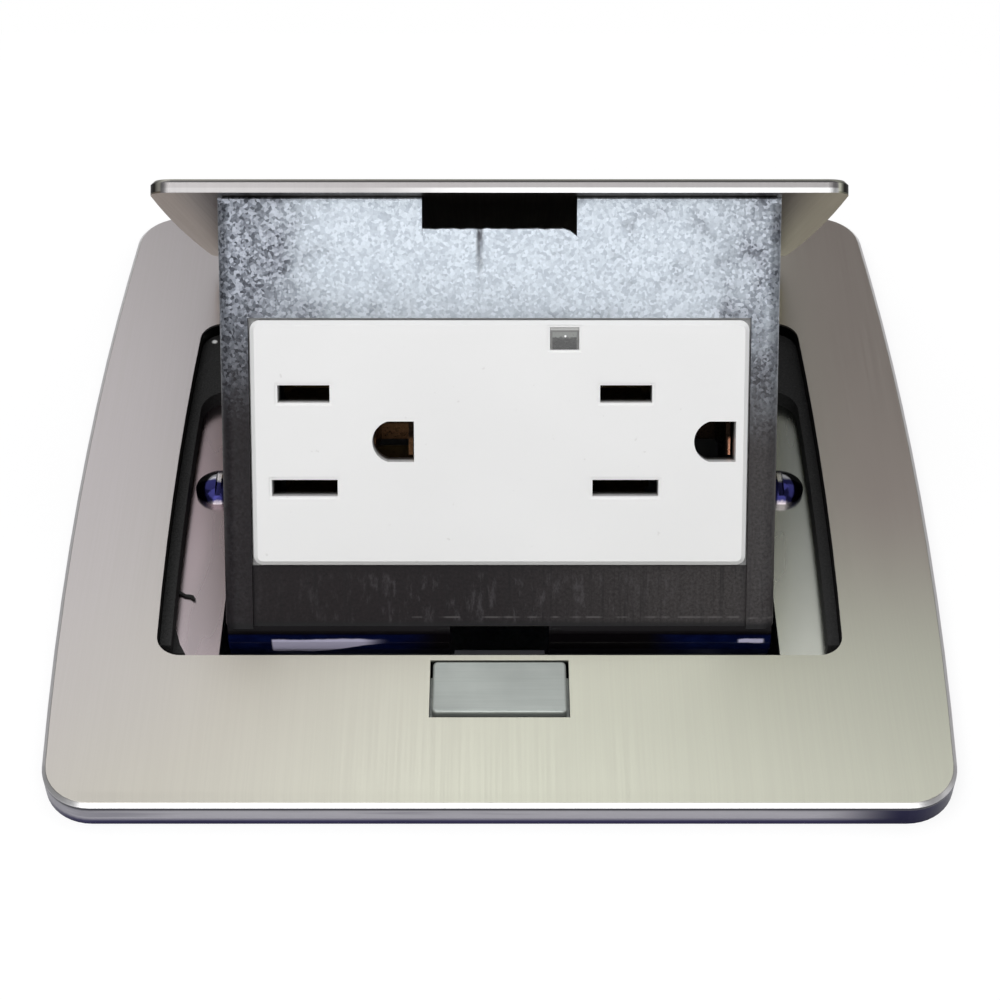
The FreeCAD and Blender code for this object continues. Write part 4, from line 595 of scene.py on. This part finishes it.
def from_space(kind):
    """From one of the SPACES, in millimetres, to the row's frame in metres."""
    origin, turn = SPACES[kind]
    return (Matrix.Translation([value * MM for value in origin])
            @ Matrix.Rotation(math.radians(turn), 4, "X") @ Matrix.Scale(MM, 4))


def built_mesh(name, builder, kind, material):
    bm = bmesh.new()
    builder(bm)
    bmesh.ops.transform(bm, matrix=from_space(kind), verts=bm.verts)
    bmesh.ops.recalc_face_normals(bm, faces=bm.faces)
    mesh = bpy.data.meshes.new(name)
    bm.to_mesh(mesh)
    bm.free()
    mesh.materials.append(material)
    return mesh


def piece(name, builder, kind, material, body):
    item = placed(name, built_mesh(name, builder, kind, material))
    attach(item, body)


def skin(bm, rings, closed=False):
    """Faces from each ring of vertices to the next, with caps unless the last meets the first."""
    for first, second in zip(rings, rings[1:] + rings[:1] if closed else rings[1:]):
        for number in range(len(first)):
            after = (number + 1) % len(first)
            bm.faces.new((first[number], first[after], second[after], second[number]))
    if not closed:
        bm.faces.new(rings[0])
        bm.faces.new(list(reversed(rings[-1])))


def sheet_strip(profile, stations):
    """Solid of a closed (y, z) profile carried along x; a station may shift some of its points."""
    def build(bm):
        skin(bm, [[bm.verts.new((x, y + shifts.get(number, 0.0), z))
                   for number, (y, z) in enumerate(profile)] for x, shifts in stations])
    return build


def thickened(line, thick):
    """Closed profile of a sheet whose outer side follows the line of (y, z) points."""
    inner = []
    for number, point in enumerate(line):
        before = Vector(line[max(number - 1, 0)])
        after = Vector(line[min(number + 1, len(line) - 1)])
        along = (after - before).normalized()
        inner.append((point[0] - along.y * thick, point[1] + along.x * thick))
    return line + list(reversed(inner))


def ragged_stations():
    """Stations along the notch that wave its edge a little and tear its right corner down."""
    half = NOTCH_HALF - 0.05
    stations = []
    for step in range(NOTCH_STEPS + 1):
        x = -half + step * 2 * half / NOTCH_STEPS
        rise = 0.16 * noise.noise(Vector((x * 0.9, 3.1, 0.0)))
        if x > TORN_CORNER_X:
            rise -= 0.75 * (x - TORN_CORNER_X)
        stations.append((x, {1: rise, 2: rise, 3: rise}))
    return stations


def torn_foam(bm):
    """Foam left in the seal's front left corner, and a thread that lies off its edge."""
    flap = [(-45.9, -26.6), (-45.1, -27.6), (-44.7, -28.8), (-44.35, -30.0), (-43.5, -31.6),
            (-45.9, -31.6)]
    skin(bm, [[bm.verts.new((x, y, z)) for x, y in flap] for z in (64.04, 64.7)])
    thread = [((-45.9, -20.2, 64.40), 0.20), ((-45.2, -20.4, 64.34), 0.26),
              ((-44.5, -20.8, 64.28), 0.20), ((-43.9, -20.9, 64.30), 0.24),
              ((-43.4, -21.2, 64.36), 0.30), ((-43.1, -21.5, 64.24), 0.16)]
    turns = [math.tau * number / 8 for number in range(8)]
    skin(bm, [[bm.verts.new((x, y + radius * math.cos(turn), z + radius * math.sin(turn)))
               for turn in turns] for (x, y, z), radius in thread])


# (y, z) on the panel: its top edge folded over, the roll under its strip, the notch's edge
fold = [(PANEL_TOP, -1.1), (-0.18, -1.1), (-0.10, -0.35), (-0.16, -0.12), (-0.32, 0.02),
        (PANEL_TOP, 0.02)]
roll = thickened([(-58.35, -0.74), (-59.6, -0.95), (-60.9, -1.55), (-62.1, -2.5), (-63.1, -3.8),
                  (-63.9, -5.4), (-64.4, -7.2)], SHEET)
lip = [(-5.4, -1.1), (-4.22, -1.1), (-4.22, -0.1), (-4.3, 0.02), (-5.4, 0.02)]
zinc = finishes["carrier_bracket"]
gloss = dark_gloss()
for side, name in ((-1, "left"), (1, "right")):
    piece("panel_top_fold_" + name,
          sheet_strip(fold, [(side * NOTCH_HALF, {}), (side * FOLD_END, {})]),
          "panel", zinc, "carrier")
    piece("panel_lower_roll_" + name,
          sheet_strip(roll, [(side * ROLL_START, {}), (side * ROLL_END, {})]),
          "panel", gloss, "carrier")
piece("seal_tear", torn_foam, "row", finishes["opening_seal"], "frame")
piece("notch_lip", sheet_strip(lip, ragged_stations()), "panel", zinc, "carrier")


# ---- stage, light and camera -----------------------------------------------------------------

FLOOR_THICK = 9.0
FLOOR_OUTER = [(-95, -128), (95, -128), (95, 118), (-95, 118)]
FLOOR_HOLE = 51.5
FLOOR_WHITE = 0.93
FLOOR_GLOW, FLOOR_GLOW_SHARE = 1.06, 0.75
WORLD_SOFT = 0.27
# place, point looked at, size and watts
LAMPS = {
    "key": ((-0.25, -0.15, 0.75), (0, 0, 0.07), (0.5, 0.5), 1.4),
    "fill": ((0.0, -0.46, 0.62), (0, 0, 0.1), (0.7, 0.45), 2.1),
    "back_left": ((-0.48, 0.52, 0.80), (0, 0, 0.07), (0.85, 0.8), 1.35),
    "side_right": ((0.85, 0.15, 0.75), (0, 0, 0.07), (0.9, 0.7), 1.6),
    "back_high": ((0.22, 0.42, 1.10), (0, 0, 0.07), (0.8, 0.45), 1.35),
}
CAMERA_PLACE = (0, -0.2129, 0.2905)
CAMERA_TILT = 43.85
CAMERA_LENS, CAMERA_SENSOR = 75.1, 36
CAMERA_SHIFT = (0.0005, -0.0324)


def ray_mix(tree, ray, first, second, output):
    """Shows the first shader, and the second as far as the ray socket says; ends the tree."""
    mix = tree.nodes.new("ShaderNodeMixShader")
    out = tree.nodes.new(output)
    for source, socket in ((ray, mix.inputs[0]), (first.outputs[0], mix.inputs[1]),
                           (second.outputs[0], mix.inputs[2]),
                           (mix.outputs[0], out.inputs["Surface"])):
        tree.links.new(source, socket)


def floor_material():
    """Pale floor that takes the object's shadow and shows near white to the camera."""
    material = bpy.data.materials.new("floor")
    material.use_nodes = True
    tree = material.node_tree
    tree.nodes.clear()
    diffuse = tree.nodes.new("ShaderNodeBsdfDiffuse")
    diffuse.inputs["Color"].default_value = (FLOOR_WHITE, FLOOR_WHITE, FLOOR_WHITE, 1)
    glow = tree.nodes.new("ShaderNodeEmission")
    glow.inputs["Strength"].default_value = FLOOR_GLOW
    path = tree.nodes.new("ShaderNodeLightPath")
    share = tree.nodes.new("ShaderNodeMath")
    share.operation = "MULTIPLY"
    share.inputs[1].default_value = FLOOR_GLOW_SHARE
    tree.links.new(path.outputs["Is Camera Ray"], share.inputs[0])
    ray_mix(tree, share.outputs[0], diffuse, glow, "ShaderNodeOutputMaterial")
    return material


def stage_floor():
    """A slab of floor round the back box, level with the plate's underside."""
    low, high = FLOOR - FLOOR_THICK, FLOOR
    inner = [(x * FLOOR_HOLE, y * FLOOR_HOLE) for x, y in ((-1, -1), (1, -1), (1, 1), (-1, 1))]

    def slab(bm):
        skin(bm, [[bm.verts.new((x, y, z)) for x, y in points]
                  for points, z in ((FLOOR_OUTER, low), (FLOOR_OUTER, high),
                                    (inner, high), (inner, low))], closed=True)

    placed("floor", built_mesh("floor", slab, "row", floor_material()))


def world():
    """Dim and even for the object, white where the camera or clear material looks past it."""
    scene_world = bpy.data.worlds.new("studio")
    bpy.context.scene.world = scene_world
    scene_world.use_nodes = True
    tree = scene_world.node_tree
    tree.nodes.clear()
    path = tree.nodes.new("ShaderNodeLightPath")
    seen = tree.nodes.new("ShaderNodeMath")
    seen.operation = "MAXIMUM"
    tree.links.new(path.outputs["Is Camera Ray"], seen.inputs[0])
    tree.links.new(path.outputs["Is Transmission Ray"], seen.inputs[1])
    soft = tree.nodes.new("ShaderNodeBackground")
    soft.inputs["Color"].default_value = (0.98, 0.98, 1.0, 1)
    soft.inputs["Strength"].default_value = WORLD_SOFT
    white = tree.nodes.new("ShaderNodeBackground")
    white.inputs["Color"].default_value = (1, 1, 1, 1)
    ray_mix(tree, seen.outputs[0], soft, white, "ShaderNodeOutputWorld")


def lamp(name, location, target, size, power):
    data = bpy.data.lights.new(name, "AREA")
    data.shape = "RECTANGLE"
    data.size, data.size_y = size
    data.energy = power
    item = placed(name, data)
    item.location = location
    item.rotation_mode = "QUATERNION"
    item.rotation_quaternion = (Vector(target) - Vector(location)).to_track_quat("-Z", "Y")


def camera():
    data = bpy.data.cameras.new("view")
    data.sensor_width = CAMERA_SENSOR
    data.lens = CAMERA_LENS
    data.shift_x, data.shift_y = CAMERA_SHIFT
    data.clip_start = 0.01
    item = placed("view", data)
    item.location = CAMERA_PLACE
    item.rotation_euler = (math.radians(CAMERA_TILT), 0, 0)
    bpy.context.scene.camera = item


stage_floor()
world()
for name, settings in LAMPS.items():
    lamp(name, *settings)
camera()
bpy.context.scene.view_settings.view_transform = "Standard"
